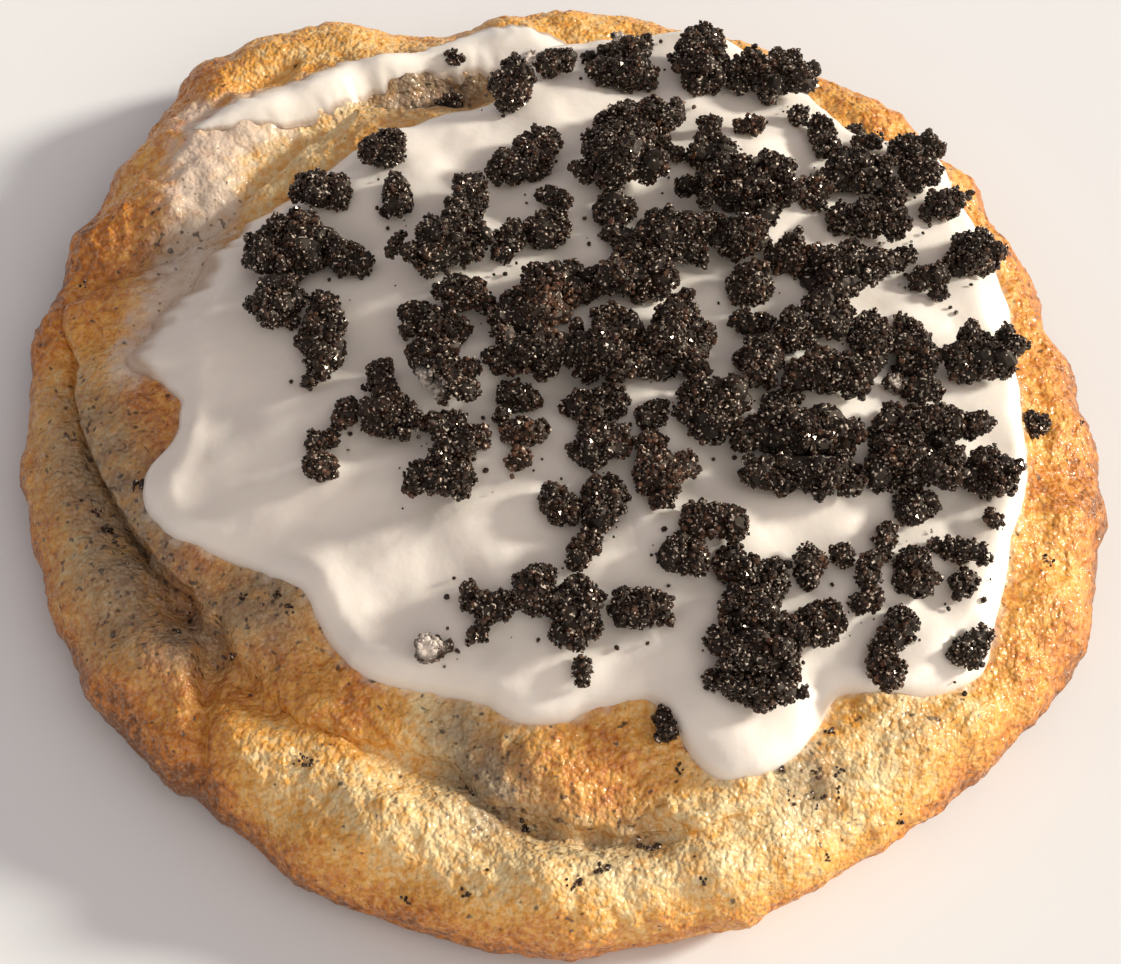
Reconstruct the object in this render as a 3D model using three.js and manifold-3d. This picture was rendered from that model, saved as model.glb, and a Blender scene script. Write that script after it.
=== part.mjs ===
// A round drop cookie with a spread of icing and chocolate cookie crumbs on it.
// Millimetres, +Z up. The cookie rests on z = 0, with the middle of its footprint at the origin.
// Bearings are in degrees, anticlockwise from +X, about the pole that its outline is measured from.
import * as THREE from "three";
import { mergeVertices } from "three/addons/utils/BufferGeometryUtils.js";
import Module from "manifold-3d";

const wasm = await Module();
wasm.setup();

// ---------------------------------------------------------------- driving sizes

const POLE = new THREE.Vector2(0.1, -0.9); // where the pole lies in the footprint
const CENTRE_HEIGHT = 19; // the dome's top, under the icing
const EQUATOR_HEIGHT = 4.2; // where the rolled rim is widest
const FOOT_STEP = 2.6; // how far the flat foot lies inside the rim
const BEARINGS = 68;
const GAP = 0.35; // clearance between nodes that touch

// The baked dough: bearing, rim radius, crease radius, lip width, lip height, crease height,
// rim roll height, overhang of the lip. The lip is where the domed top breaks off above the roll.
const SECTIONS = [
  [0, 52.9, 45.0, 4.0, 13.6, 12.6, 11.4, 0.0],
  [15, 51.5, 43.5, 4.0, 13.8, 12.8, 11.6, 0.0],
  [30, 52.9, 44.5, 4.0, 13.8, 12.8, 11.6, 0.0],
  [45, 54.1, 45.5, 4.0, 13.6, 12.5, 11.4, 0.0],
  [60, 54.5, 45.5, 4.0, 13.6, 12.4, 11.2, 0.0],
  [75, 55.2, 44.5, 3.5, 13.8, 12.2, 11.2, 0.0],
  [90, 55.9, 42.4, 3.2, 14.2, 11.4, 11.3, 0.0],
  [105, 55.1, 39.8, 3.0, 14.8, 10.2, 11.6, 0.4],
  [120, 60.9, 41.8, 2.6, 14.8, 10.2, 12.5, 0.7],
  [135, 59.7, 41.4, 3.0, 14.2, 10.4, 12.4, 0.2],
  [150, 56.1, 42.5, 4.0, 12.8, 11.0, 11.4, 0.0],
  [162, 54.8, 50.8, 2.5, 9.8, 7.9, 7.4, 0.0],
  [172, 53.8, 48.0, 2.2, 11.6, 7.2, 7.9, 0.5],
  [183, 53.2, 44.8, 2.2, 12.8, 6.9, 8.8, 0.9],
  [195, 52.4, 42.2, 2.2, 13.6, 7.1, 9.4, 0.9],
  [208, 52.1, 41.0, 2.6, 13.6, 8.3, 10.0, 0.4],
  [220, 51.7, 41.6, 3.4, 12.8, 10.0, 10.6, 0.0],
  [232, 51.8, 41.6, 3.4, 12.6, 10.7, 11.3, 0.0],
  [245, 52.6, 40.6, 3.4, 13.0, 10.8, 11.6, 0.0],
  [255, 53.4, 40.4, 3.0, 13.0, 10.2, 11.7, 0.0],
  [263, 53.9, 43.4, 3.0, 12.4, 9.5, 11.0, 0.1],
  [272, 54.1, 45.6, 3.0, 12.0, 9.3, 10.4, 0.1],
  [282, 53.6, 46.6, 3.0, 11.8, 9.4, 10.0, 0.0],
  [293, 53.0, 46.4, 3.5, 12.2, 10.9, 10.1, 0.0],
  [307, 52.5, 45.5, 4.0, 12.8, 11.9, 10.7, 0.0],
  [322, 53.8, 45.5, 4.0, 13.2, 12.3, 11.0, 0.0],
  [340, 54.4, 45.5, 4.0, 13.4, 12.5, 11.2, 0.0],
];

// Furrows and folds in the dough: the line they follow, then depth and half width.
const FURROWS = [
  { line: [[-32.5, -24.6], [-33.1, -30.0], [-34.2, -36.4], [-33.9, -40.1]], depth: 1.6, width: 1.3 },
  { line: [[2, -46.1], [6, -45.3], [10.5, -45.0]], depth: 0.9, width: 0.8 },
  { line: [[-33.5, 42.5], [-29.0, 45.0]], depth: 1.0, width: 1.1 },
  { line: [[-38.5, 36.5], [-35.0, 40.5]], depth: 1.0, width: 1.2 },
];

// How far the icing reaches from its own middle: bearing, radius.
const ICING_CENTRE = new THREE.Vector2(2, 2);
const ICING_REACH = [
  [0, 42.4], [8, 43.1], [16, 43.8], [24, 44.4], [32, 45.2], [40, 46.8], [44, 44.9], [48, 42.3],
  [54, 43.0], [60, 45.3], [64, 46.3], [72, 47.6], [80, 47.0], [88, 45.6], [94, 44.6], [98, 41.5],
  [101, 38.0], [104, 35.8], [112, 34.9], [120, 34.9], [128, 35.7], [136, 35.8], [144, 37.0],
  [152, 38.5], [160, 40.2], [168, 43.0], [173, 43.5], [176.5, 43.6], [180, 40.6], [184, 38.9],
  [188, 39.2], [191, 40.2], [194, 42.6], [197, 43.5], [200, 43.6], [204, 42.6], [208, 40.4],
  [216, 37.0], [224, 36.1], [232, 37.7], [240, 38.7], [248, 37.3], [256, 37.3], [264, 38.5],
  [272, 36.8], [279, 36.4], [282, 38.6], [283.5, 42.0], [286, 44.8], [290, 45.6], [296, 44.9],
  [300, 43.2], [304, 41.7], [308, 43.2], [312, 45.8], [316, 47.4], [320, 48.2], [324, 47.3],
  [328, 46.2], [336, 44.5], [344, 44.1], [352, 43.0],
];
const ICING_THICKNESS = 1.9; // over most of the patch
const ICING_EDGE = 2.6; // the rounded edge is this wide
const DRIP = { x: 17.5, y: -37.5, radius: 8, rise: 1.1 }; // the lobe that runs to the rim
// The streak of icing that lies in the trough behind: bearing and radius about the icing's
// middle, and half width.
const STREAK = [
  [88, 42.6, 3.0], [96, 44.6, 3.6], [104, 46.4, 3.2], [110, 45.9, 1.8], [116, 46.3, 2.0],
  [121, 46.5, 2.4], [127, 46.9, 2.6], [132, 47.9, 2.6], [137, 50.0, 2.2], [140, 51.4, 1.2],
];
const STREAK_THICKNESS = 1.0;
const STREAK_EDGE = 0.25; // how tall the streak's edge still is

// Chocolate crumbs. Each lobe is x, y, length, width and turn, seen from above.
const CHUNKS = [
  [[-25.6, 14.2, 11.2, 8.4, 0], [-20.6, 12.8, 5.6, 4.6, -20]],
  [[-11.2, 11.8, 10.8, 7.6, 25], [-9.4, 6.8, 6.6, 6.0, -10]],
  [[-3.0, 3.6, 9.2, 7.0, 20], [-3.0, -0.9, 8.4, 5.6, 0]],
  [[0.0, 7.8, 9.2, 5.4, -5], [6.6, 8.4, 10.0, 6.2, 0]],
  [[4.2, -0.6, 11.2, 7.4, 0]],
  [[11.2, 1.2, 10.2, 8.0, 80]],
  [[6.0, 23.4, 9.6, 8.6, 30], [5.2, 17.9, 6.0, 5.6, 60]],
  [[17.8, 20.7, 11.8, 8.8, 0], [15.2, 25.8, 6.4, 4.6, 10], [17.4, 14.6, 7.4, 6.4, 20]],
  [
    [29.2, 25.4, 9.8, 5.6, 0], [30.0, 18.4, 9.4, 5.4, 0], [33.0, 22.0, 6.0, 3.4, 90],
    [25.2, 22.4, 6.0, 3.4, 90],
  ],
  [[27.5, 11.0, 10.2, 7.6, 15], [25.8, 5.2, 7.0, 5.4, 90]],
  [[25.7, -2.0, 10.2, 5.8, 0]],
  [[14.4, -6.8, 8.6, 8.0, 0]],
  [[21.8, -8.8, 13.4, 7.4, 0], [23.0, -13.4, 11.8, 5.6, -5]],
  [[34.5, -6.6, 13.0, 6.2, 0], [32.5, -11.4, 12.4, 7.4, 0], [33.3, -14.8, 5.0, 4.0, 0]],
  [[17.8, -27.4, 7.6, 5.6, 0], [17.8, -31.4, 9.6, 7.4, 0], [17.7, -34.4, 9.6, 5.0, 0]],
  [[14.2, 40.2, 9.6, 7.0, 90]],
  [[21.6, 38.3, 11.4, 6.4, 0]],
  [[8.3, 30.0, 10.6, 6.8, 15]],
  [[11.0, 13.6, 9.2, 7.8, 10], [6.6, 13.6, 5.4, 3.8, -20]],
];
const CRUMBS = [
  [-23.6, 21.3, 7.0, 5.2, 0], [-17.5, 26.3, 5.9, 4.4, 15], [-16.2, 20.0, 5.1, 3.8, 90],
  [-27.3, 7.1, 6.8, 5.6, 65], [-22.7, 2.8, 11.5, 5.0, 85], [-9.1, 18.3, 7.6, 4.4, 85],
  [-12.3, 3.1, 8.4, 4.6, -30], [-17.0, -2.6, 5.5, 3.0, 90], [-16.2, -6.8, 6.6, 5.8, 0],
  [-11.0, -3.1, 8.2, 6.4, -30], [-11.0, -8.0, 5.0, 3.2, -5], [-10.9, -14.2, 8.2, 5.4, 0],
  [-9.2, -10.7, 7.2, 3.6, 30], [-4.0, -4.9, 5.0, 3.4, -15], [-0.3, -16.8, 5.4, 3.8, -50],
  [3.8, -16.5, 6.0, 4.8, 70], [-6.0, -27.1, 5.4, 3.8, 0], [-2.2, -25.7, 6.2, 4.2, 75],
  [1.5, -27.7, 8.6, 6.0, 80], [7.2, -27.2, 7.0, 5.0, 10], [-4.9, 35.5, 6.8, 5.0, 90],
  [-0.7, 40.1, 5.0, 3.4, 20], [-4.1, 23.9, 7.8, 4.6, 0], [-2.2, 27.3, 5.2, 4.2, 10],
  [-5.0, 13.4, 5.4, 3.4, 70], [-1.3, 15.0, 5.6, 4.4, 30], [6.9, 38.4, 8.0, 5.0, -5],
  [7.5, 41.6, 5.0, 3.8, -20], [26.5, 30.4, 5.8, 3.4, 100], [35.6, 29.0, 6.4, 4.2, 10],
  [36.0, 25.6, 5.6, 3.8, 20], [38.0, 21.9, 5.0, 3.8, 10], [40.7, 15.7, 6.4, 5.8, 90],
  [22.0, 12.6, 5.8, 3.8, 75], [18.4, 8.4, 5.6, 5.0, 60], [18.0, 4.2, 5.0, 3.0, -10],
  [22.3, 2.7, 6.0, 4.6, 80], [32.9, 14.7, 4.9, 2.8, 25], [29.6, 3.1, 6.8, 4.6, 85],
  [34.0, 3.4, 8.4, 5.6, 100], [34.5, -1.9, 4.9, 3.0, 0], [40.7, 2.1, 8.4, 7.2, 20],
  [19.0, -0.6, 6.8, 4.8, 75], [40.9, -11.2, 7.0, 6.2, -20], [3.4, -6.4, 7.2, 3.8, 15],
  [3.9, -10.7, 8.0, 4.8, 20], [8.9, -12.9, 9.6, 4.8, 100], [14.1, -18.7, 7.0, 4.6, 0],
  [11.5, -22.3, 6.4, 4.6, -15], [16.0, -22.5, 5.6, 4.4, -20], [23.5, -27.8, 7.2, 4.6, 30],
  [32.8, -22.0, 6.4, 4.2, 85], [37.2, -18.8, 5.6, 2.8, -10], [30.9, -27.4, 5.0, 3.6, 60],
  [29.8, -31.0, 5.4, 3.8, 100], [37.7, -28.3, 5.4, 3.8, 50],
];
// Crumbs that lie on bare dough.
const STRAYS = [[47.2, -2.0, 2.6, 2.4, 0], [8.9, -36.9, 3.6, 2.2, 90]];
const LUMP = 3.6; // across one lump of a large crumb
const LUMP_SPACING = 6; // of the lumps round its core
const CORE_FROM = 5; // wider lobes have a core with lumps round it
const HEIGHT_SHARE = 0.72; // a crumb's height over its width
const HEIGHT_MORE = 0.4; // added to the height of each crumb
const CORE_SHARE = 0.82; // a core's size over its lobe's
const UNEVEN = 0.24; // how far a lump's corners stand out, as a share of its size
const ROW_PITCH = 1.5; // widths of a narrow lobe for each lump in its row
const ROW_OVERLAP = 1.15; // how much longer the lumps in a row are than their pitch
const SINK = 0.16; // share of a lump that lies in the icing

// ---------------------------------------------------------------- materials

const doughFinish = new THREE.MeshStandardMaterial({ color: 0xd9a866, roughness: 0.75, metalness: 0 });
const icingFinish = new THREE.MeshStandardMaterial({ color: 0xece6df, roughness: 0.35, metalness: 0 });
const crumbFinish = new THREE.MeshStandardMaterial({ color: 0x2c1d15, roughness: 0.7, metalness: 0 });

// ---------------------------------------------------------------- small tools

let seed = 4321;
function random() {
  seed = (seed * 16807) % 2147483647;
  return seed / 2147483647;
}

const radians = THREE.MathUtils.degToRad;

/** The row of values at a bearing, smooth all round, from rows that start with their bearing. */
function around(rows, bearing) {
  const turn = ((bearing % 360) + 360) % 360;
  const count = rows.length;
  let i = count - 1;
  while (rows[i][0] > turn) i -= 1;
  const at = (k) => rows[(k + count) % count][0] + 360 * Math.floor(k / count);
  const value = (k, c) => rows[(k + count) % count][c];
  const span = at(i + 1) - at(i);
  const t = (turn - at(i)) / span;
  return Array.from({ length: rows[0].length - 1 }, (_, n) => {
    const c = n + 1;
    const slope = (k) => ((value(k + 1, c) - value(k - 1, c)) / (at(k + 1) - at(k - 1))) * span;
    const rise = value(i + 1, c) - value(i, c);
    const ease = t * t * (3 - 2 * t);
    return value(i, c) + rise * ease + slope(i) * t * (1 - t) ** 2 - slope(i + 1) * t * t * (1 - t);
  });
}

/** A closed mesh from rings of equal length, with a cap point inside the first and the last. */
function lofted(rings, firstCap, lastCap) {
  const count = rings[0].length;
  const points = [firstCap, lastCap, ...rings.flat()];
  const index = [];
  const at = (ring, k) => 2 + ring * count + (k % count);
  for (let k = 0; k < count; k += 1) {
    index.push(0, at(0, k), at(0, k + 1));
    index.push(1, at(rings.length - 1, k + 1), at(rings.length - 1, k));
    for (let ring = 0; ring < rings.length - 1; ring += 1) {
      index.push(at(ring, k), at(ring + 1, k), at(ring + 1, k + 1));
      index.push(at(ring, k), at(ring + 1, k + 1), at(ring, k + 1));
    }
  }
  const geometry = new THREE.BufferGeometry().setFromPoints(points);
  geometry.setIndex(index);
  return geometry;
}

/** The geometry as a solid that can be joined and cut. */
function solid(geometry) {
  const bare = geometry.clone();
  bare.deleteAttribute("normal");
  bare.deleteAttribute("uv");
  const merged = mergeVertices(bare, 1e-4);
  return new wasm.Manifold(
    new wasm.Mesh({
      numProp: 3,
      vertProperties: merged.attributes.position.array,
      triVerts: new Uint32Array(merged.index.array),
    }),
  );
}

const joined = (solids) => solids.reduce((all, next) => all.add(next));

/** The largest body of a solid, without loose scraps and with any sealed hollow filled. */
function mainBody(made) {
  return made.decompose().reduce((best, next) => (next.volume() > best.volume() ? next : best));
}

/** A named mesh of a solid, set at the pole. */
function node(name, made, material) {
  const data = made.getMesh();
  const geometry = new THREE.BufferGeometry();
  geometry.setAttribute("position", new THREE.BufferAttribute(data.vertProperties, 3));
  geometry.setIndex(new THREE.BufferAttribute(data.triVerts, 1));
  const mesh = new THREE.Mesh(geometry, material);
  mesh.name = name;
  mesh.position.set(POLE.x, POLE.y, 0);
  return mesh;
}

// ---------------------------------------------------------------- dough

const DOME_SHARES = [0, 0.28, 0.52, 0.74, 0.9];
const DOME_POWER = 2.2;

/** The section from the middle to the foot at one bearing, as radius and height. */
function section(bearing) {
  const [rim, crease, lip, lipHeight, creaseHeight, crest, overhang] = around(SECTIONS, bearing);
  const shoulder = crease - lip;
  const roll = rim - crease;
  const drop = lipHeight - creaseHeight;
  const knots = DOME_SHARES.map((share) => [
    shoulder * share,
    lipHeight + (CENTRE_HEIGHT - lipHeight) * (1 - share ** DOME_POWER),
  ]);
  knots.push(
    [shoulder, lipHeight],
    [crease - 0.3 * lip + 1.3 * overhang, lipHeight - 0.34 * drop],
    [crease - 0.05 * lip + 0.9 * overhang, lipHeight - 0.72 * drop],
    [crease, creaseHeight],
    [crease + 0.2 * roll, creaseHeight + 0.7 * (crest - creaseHeight)],
    [crease + 0.45 * roll, crest],
    [crease + 0.78 * roll, crest - 0.26 * (crest - EQUATOR_HEIGHT - 0.4)],
    [rim - 0.25, EQUATOR_HEIGHT + 0.18 * crest],
    [rim, EQUATOR_HEIGHT],
    [rim - 0.7, 1.7],
    [rim - FOOT_STEP, 0],
  );
  return knots.map(([r, z]) => new THREE.Vector3(r, z, 0));
}

/** The section as a smooth line, with so many steps on each span of the dome and of the rest. */
function smoothSection(bearing, domeSteps, steps) {
  const knots = section(bearing);
  const before = new THREE.Vector3(-knots[1].x, knots[1].y, 0);
  const curve = new THREE.CatmullRomCurve3([before, ...knots], false, "centripetal");
  const spans = knots.length;
  const line = [];
  for (let span = 1; span < spans; span += 1) {
    const onSpan = span < DOME_SHARES.length ? domeSteps : steps;
    for (let k = 0; k < onSpan; k += 1) line.push(curve.getPoint((span + k / onSpan) / spans));
  }
  line.push(knots.at(-1));
  return line;
}

const profileCache = new Map();

/** The section at the nearest half degree, kept once it is made. */
function cachedProfile(bearing) {
  const key = Math.round((((bearing % 360) + 360) % 360) * 2) % 720;
  if (!profileCache.has(key)) profileCache.set(key, smoothSection(key / 2, 4, 4));
  return profileCache.get(key);
}

/** The height of the dough's top surface at a place, before its relief. */
function smoothHeight(x, y) {
  const line = cachedProfile(THREE.MathUtils.radToDeg(Math.atan2(y, x)));
  const r = Math.hypot(x, y);
  let top = 0;
  for (let k = 0; k < line.length - 1; k += 1) {
    const [a, b] = [line[k], line[k + 1]];
    if (r < Math.min(a.x, b.x) || r > Math.max(a.x, b.x) || a.x === b.x) continue;
    top = Math.max(top, a.y + ((b.y - a.y) * (r - a.x)) / (b.x - a.x));
  }
  return top;
}

// The slow unevenness of the dough: wave lengths in millimetres, and how high each wave is.
const WAVE_SIZES = [[17, 0.3], [13, 0.28], [10.5, 0.24], [8.4, 0.2], [7.1, 0.15]];
const WAVES = WAVE_SIZES.map(([length, height]) => {
  const turn = radians(360 * random());
  const tilt = radians(60 * random() - 30);
  const k = (2 * Math.PI) / length;
  return {
    way: new THREE.Vector3(k * Math.cos(turn), k * Math.sin(turn), k * Math.sin(tilt)),
    phase: 2 * Math.PI * random(),
    height,
  };
});

/** How far the dough's skin stands out of its smooth form at a point. */
function relief(point) {
  return WAVES.reduce((sum, wave) => sum + wave.height * Math.sin(wave.way.dot(point) + wave.phase), 0);
}

/** The distance from a place to a line of points. */
function distanceTo(line, x, y) {
  let best = Infinity;
  for (let k = 0; k < line.length - 1; k += 1) {
    const [[ax, ay], [bx, by]] = [line[k], line[k + 1]];
    const along = ((x - ax) * (bx - ax) + (y - ay) * (by - ay)) / ((bx - ax) ** 2 + (by - ay) ** 2);
    const t = THREE.MathUtils.clamp(along, 0, 1);
    best = Math.min(best, Math.hypot(x - ax - t * (bx - ax), y - ay - t * (by - ay)));
  }
  return best;
}

/** How deep the furrows cut at a place. */
function furrowDepth(x, y) {
  return FURROWS.reduce((sum, { line, depth, width }) => {
    const away = distanceTo(line, x, y) / width;
    return sum + (away < 4 ? depth * Math.exp(-away * away) : 0);
  }, 0);
}

const EVEN_BELOW = 3.5; // the relief fades out between here and the foot

/** The baked dough as a solid, with its relief and furrows. */
function dough() {
  const rings = [];
  for (let b = 0; b < BEARINGS; b += 1) {
    const bearing = (360 * b) / BEARINGS;
    const line = smoothSection(bearing, 1, 2);
    const [c, s] = [Math.cos(radians(bearing)), Math.sin(radians(bearing))];
    line.slice(1).forEach((point, k) => {
      const [before, after] = [line[k], line[Math.min(k + 2, line.length - 1)]];
      const normal = new THREE.Vector2(before.y - after.y, after.x - before.x).normalize();
      const place = new THREE.Vector3(point.x * c, point.x * s, point.y);
      const fade = THREE.MathUtils.smoothstep(point.y, 0, EVEN_BELOW);
      const out = fade * (relief(place) - furrowDepth(place.x, place.y));
      const r = point.x + normal.x * out;
      rings[k] ??= [];
      rings[k].push(new THREE.Vector3(r * c, r * s, Math.max(0, point.y + normal.y * out)));
    });
  }
  const middle = new THREE.Vector3(0, 0, CENTRE_HEIGHT);
  middle.z += relief(middle);
  return solid(lofted(rings, middle, new THREE.Vector3(0, 0, 0)));
}

/** The height of the dough's top at a place, with its relief. */
function doughTop(x, y) {
  const z = smoothHeight(x, y);
  return z + relief(new THREE.Vector3(x, y, z)) - furrowDepth(x, y);
}

// ---------------------------------------------------------------- icing

const ICING_SHARES = [0.35, 0.64, 0.85, 0.95, 0.988, 1];
const UNDER_SHARES = [1, 0.75];
const EDGE_HEIGHT = 0.5; // how tall the icing's edge still is

/** How thick the icing is, from how far inside its edge a place lies. */
function rounded(inside, thickness) {
  const t = THREE.MathUtils.clamp(inside / ICING_EDGE, 0, 1);
  return EDGE_HEIGHT + (thickness - EDGE_HEIGHT) * Math.sqrt(1 - (1 - t) ** 2);
}

/** The place at a bearing and radius about the icing's middle. */
function icingPoint(bearing, radius) {
  const way = new THREE.Vector2(Math.cos(radians(bearing)), Math.sin(radians(bearing)));
  return way.multiplyScalar(radius).add(ICING_CENTRE);
}

/** How thick the patch is at a place that lies so far inside its edge. */
function mainThickness(x, y, inside) {
  const away = Math.hypot(x - DRIP.x, y - DRIP.y) / DRIP.radius;
  return rounded(inside, ICING_THICKNESS + DRIP.rise * Math.exp(-away * away));
}

const BELOW_DOUGH = 1.5; // the icing is shaped down to here, then cut back to clear the dough

/** The patch of icing, sunk into the dough. */
function icingPatch() {
  const ring = (share, top) =>
    ICING_REACH.map(([bearing, reach]) => {
      const { x, y } = icingPoint(bearing, reach * share);
      const lift = top ? GAP + mainThickness(x, y, reach * (1 - share)) : -BELOW_DOUGH;
      return new THREE.Vector3(x, y, doughTop(x, y) + lift);
    });
  const rings = [
    ...ICING_SHARES.map((share) => ring(share, true)),
    ...UNDER_SHARES.map((share) => ring(share, false)),
  ];
  const { x, y } = ICING_CENTRE;
  const low = doughTop(x, y);
  const middle = (z) => new THREE.Vector3(x, y, z);
  return solid(lofted(rings, middle(low + GAP + ICING_THICKNESS), middle(low - BELOW_DOUGH)));
}

const STREAK_STEP = 3; // degrees
const STREAK_SIDE = [-1, -0.8, 0, 0.8, 1];

/** The streak as a low ridge with a round top, sunk into the dough. */
function streak() {
  const rows = STREAK;
  const first = rows[0][0];
  const last = rows.at(-1)[0];
  const rings = [];
  for (let bearing = first; bearing <= last; bearing += STREAK_STEP) {
    const k = Math.max(1, rows.findIndex((row) => row[0] >= bearing));
    const t = (bearing - rows[k - 1][0]) / (rows[k][0] - rows[k - 1][0]);
    const radius = THREE.MathUtils.lerp(rows[k - 1][1], rows[k][1], t);
    const half = THREE.MathUtils.lerp(rows[k - 1][2], rows[k][2], t);
    const across = STREAK_SIDE.map((side) => {
      const { x, y } = icingPoint(bearing, radius + side * half);
      const ground = doughTop(x, y);
      const rise = GAP + STREAK_EDGE + STREAK_THICKNESS * Math.sqrt(1 - side * side);
      return { x, y, low: ground - BELOW_DOUGH, top: ground + rise };
    });
    rings.push([
      ...across.map((p) => new THREE.Vector3(p.x, p.y, p.low)),
      ...across.toReversed().map((p) => new THREE.Vector3(p.x, p.y, p.top)),
    ]);
  }
  const centre = (ring) => {
    const sum = ring.reduce((all, p) => all.add(p), new THREE.Vector3());
    return sum.divideScalar(ring.length);
  };
  return solid(lofted(rings, centre(rings[0]), centre(rings.at(-1))));
}

// ---------------------------------------------------------------- crumbs

/** An uneven lump: a twenty-sided stone with its corners moved outwards. */
function lump(x, y, z, sizeX, sizeY, sizeZ, turn) {
  const bare = new THREE.IcosahedronGeometry(0.5, 0).deleteAttribute("normal").deleteAttribute("uv");
  const geometry = mergeVertices(bare);
  const corners = geometry.attributes.position;
  for (let k = 0; k < corners.count; k += 1) {
    const stretch = 1 + UNEVEN * random();
    corners.setXYZ(k, corners.getX(k) * stretch, corners.getY(k) * stretch, corners.getZ(k) * stretch);
  }
  geometry.rotateZ(2 * Math.PI * random());
  geometry.scale(sizeX, sizeY, sizeZ);
  geometry.rotateZ(radians(turn));
  geometry.translate(x, y, z);
  return geometry;
}

/** The lumps of one lobe on a surface: a row of them or, if ringed and wide, a core and a ring. */
function lobeLumps([x, y, length, width, turn], surface, ringed) {
  const [c, s] = [Math.cos(radians(turn)), Math.sin(radians(turn))];
  const at = (along, side) => [x + along * c - side * s, y + along * s + side * c];
  const tall = HEIGHT_SHARE * width + HEIGHT_MORE;
  const lumps = [];
  const put = (along, side, sizes) => {
    const [px, py] = at(along, side);
    lumps.push({ x: px, y: py, z: surface(px, py) + (0.5 - SINK) * sizes[2], sizes, turn });
  };
  if (!ringed || width < CORE_FROM) {
    const count = Math.max(1, Math.round(length / (ROW_PITCH * width)));
    const each = Math.min(length, (ROW_OVERLAP * length) / count);
    for (let k = 0; k < count; k += 1) {
      const along = count > 1 ? ((length - each) * k) / (count - 1) - (length - each) / 2 : 0;
      put(along, count > 1 ? 0.3 * (random() - 0.5) * width : 0, [each, width, tall]);
    }
    return lumps;
  }
  put(0, 0, [CORE_SHARE * length, CORE_SHARE * width, tall]);
  const count = Math.round((length + width) / LUMP_SPACING);
  const start = 2 * Math.PI * random();
  for (let k = 0; k < count; k += 1) {
    const angle = start + (2 * Math.PI * (k + 0.4 * random())) / count;
    const size = LUMP * (0.85 + 0.35 * random());
    const along = ((length - size) / 2) * Math.cos(angle);
    const side = ((width - size) / 2) * Math.sin(angle);
    put(along, side, [size, size, 0.9 * size]);
  }
  return lumps;
}

/** The lumps joined into one solid, each made larger all round by a margin. */
function stones(lumps, grow) {
  return joined(
    lumps.map((one) => {
      const [a, b, c] = one.sizes.map((size) => size + 2 * grow);
      return solid(lump(one.x, one.y, one.z, a, b, c, one.turn));
    }),
  );
}

// ---------------------------------------------------------------- assembly

const cookieBare = dough();
const liftedDough = cookieBare.translate([0, 0, GAP]);
const patch = icingPatch().add(streak()).subtract(liftedDough);

const lumpsOf = (lobes, surface, ringed) => lobes.flatMap((lobe) => lobeLumps(lobe, surface, ringed));

/** The height of the icing's top at a place, or of the dough beyond its edge. */
function icingTop(x, y) {
  const bearing = THREE.MathUtils.radToDeg(Math.atan2(y - ICING_CENTRE.y, x - ICING_CENTRE.x));
  const [reach] = around(ICING_REACH, bearing);
  const inside = reach - Math.hypot(x - ICING_CENTRE.x, y - ICING_CENTRE.y);
  if (inside < 0) return doughTop(x, y) + EDGE_HEIGHT;
  return doughTop(x, y) + GAP + mainThickness(x, y, inside);
}

const SLOPE_SHARE = 0.7; // of a chunk's half length, where the slope under it is measured
const FOOTPRINT_SHARE = 0.55; // how far a lump's footprint reaches, as a share of its size
const GROUND_DEPTH = 20;

/** A block whose top face clears the icing under some lumps, as the ground under a chunk. */
function groundUnder(lumps) {
  const largest = (one) => Math.max(...one.sizes);
  const middle = (axis) => lumps.reduce((sum, one) => sum + one[axis], 0) / lumps.length;
  const [x, y] = [middle("x"), middle("y")];
  const away = (one, px, py) => Math.hypot(px - one.x, py - one.y);
  const half = Math.max(...lumps.map((one) => away(one, x, y) + largest(one) / 2));
  const step = SLOPE_SHARE * half;
  const slopeX = (icingTop(x + step, y) - icingTop(x - step, y)) / (2 * step);
  const slopeY = (icingTop(x, y + step) - icingTop(x, y - step)) / (2 * step);
  let lift = -Infinity;
  for (let px = x - half; px <= x + half; px += 1) {
    for (let py = y - half; py <= y + half; py += 1) {
      if (!lumps.some((one) => away(one, px, py) < FOOTPRINT_SHARE * largest(one))) continue;
      lift = Math.max(lift, icingTop(px, py) - slopeX * (px - x) - slopeY * (py - y));
    }
  }
  const block = new THREE.BoxGeometry(4 * half, 4 * half, GROUND_DEPTH);
  block.translate(0, 0, -GROUND_DEPTH / 2);
  const normal = new THREE.Vector3(-slopeX, -slopeY, 1).normalize();
  const up = new THREE.Vector3(0, 0, 1);
  block.applyQuaternion(new THREE.Quaternion().setFromUnitVectors(up, normal));
  block.translate(x, y, lift + GAP);
  return solid(block);
}

const group = new THREE.Group();
let cleared = null;
CHUNKS.forEach((lobes, k) => {
  const lumps = lumpsOf(lobes, icingTop, true);
  const start = seed;
  let chunk = stones(lumps, 0).subtract(groundUnder(lumps));
  seed = start;
  const grown = stones(lumps, GAP);
  if (cleared) chunk = chunk.subtract(cleared);
  cleared = cleared ? cleared.add(grown) : grown;
  group.add(node(`crumb_chunk_${String(k + 1).padStart(2, "0")}`, mainBody(chunk), crumbFinish));
});

const crumbs = stones(lumpsOf(CRUMBS, icingTop, false), 0);
const icing = mainBody(patch.add(crumbs.subtract(cleared)).subtract(liftedDough));
group.add(node("icing", icing, icingFinish));

const strays = stones(lumpsOf(STRAYS, doughTop, false), 0);
const cookie = mainBody(cookieBare.add(strays));
group.add(node("cookie", cookie, doughFinish));

export default group;
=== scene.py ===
"""A round drop cookie with white icing and chocolate cookie crumbs, at true size.

Forms are worked out in millimetres about the cookie's pole, and turned into metres in the
shared frame when a mesh is made.
"""

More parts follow.
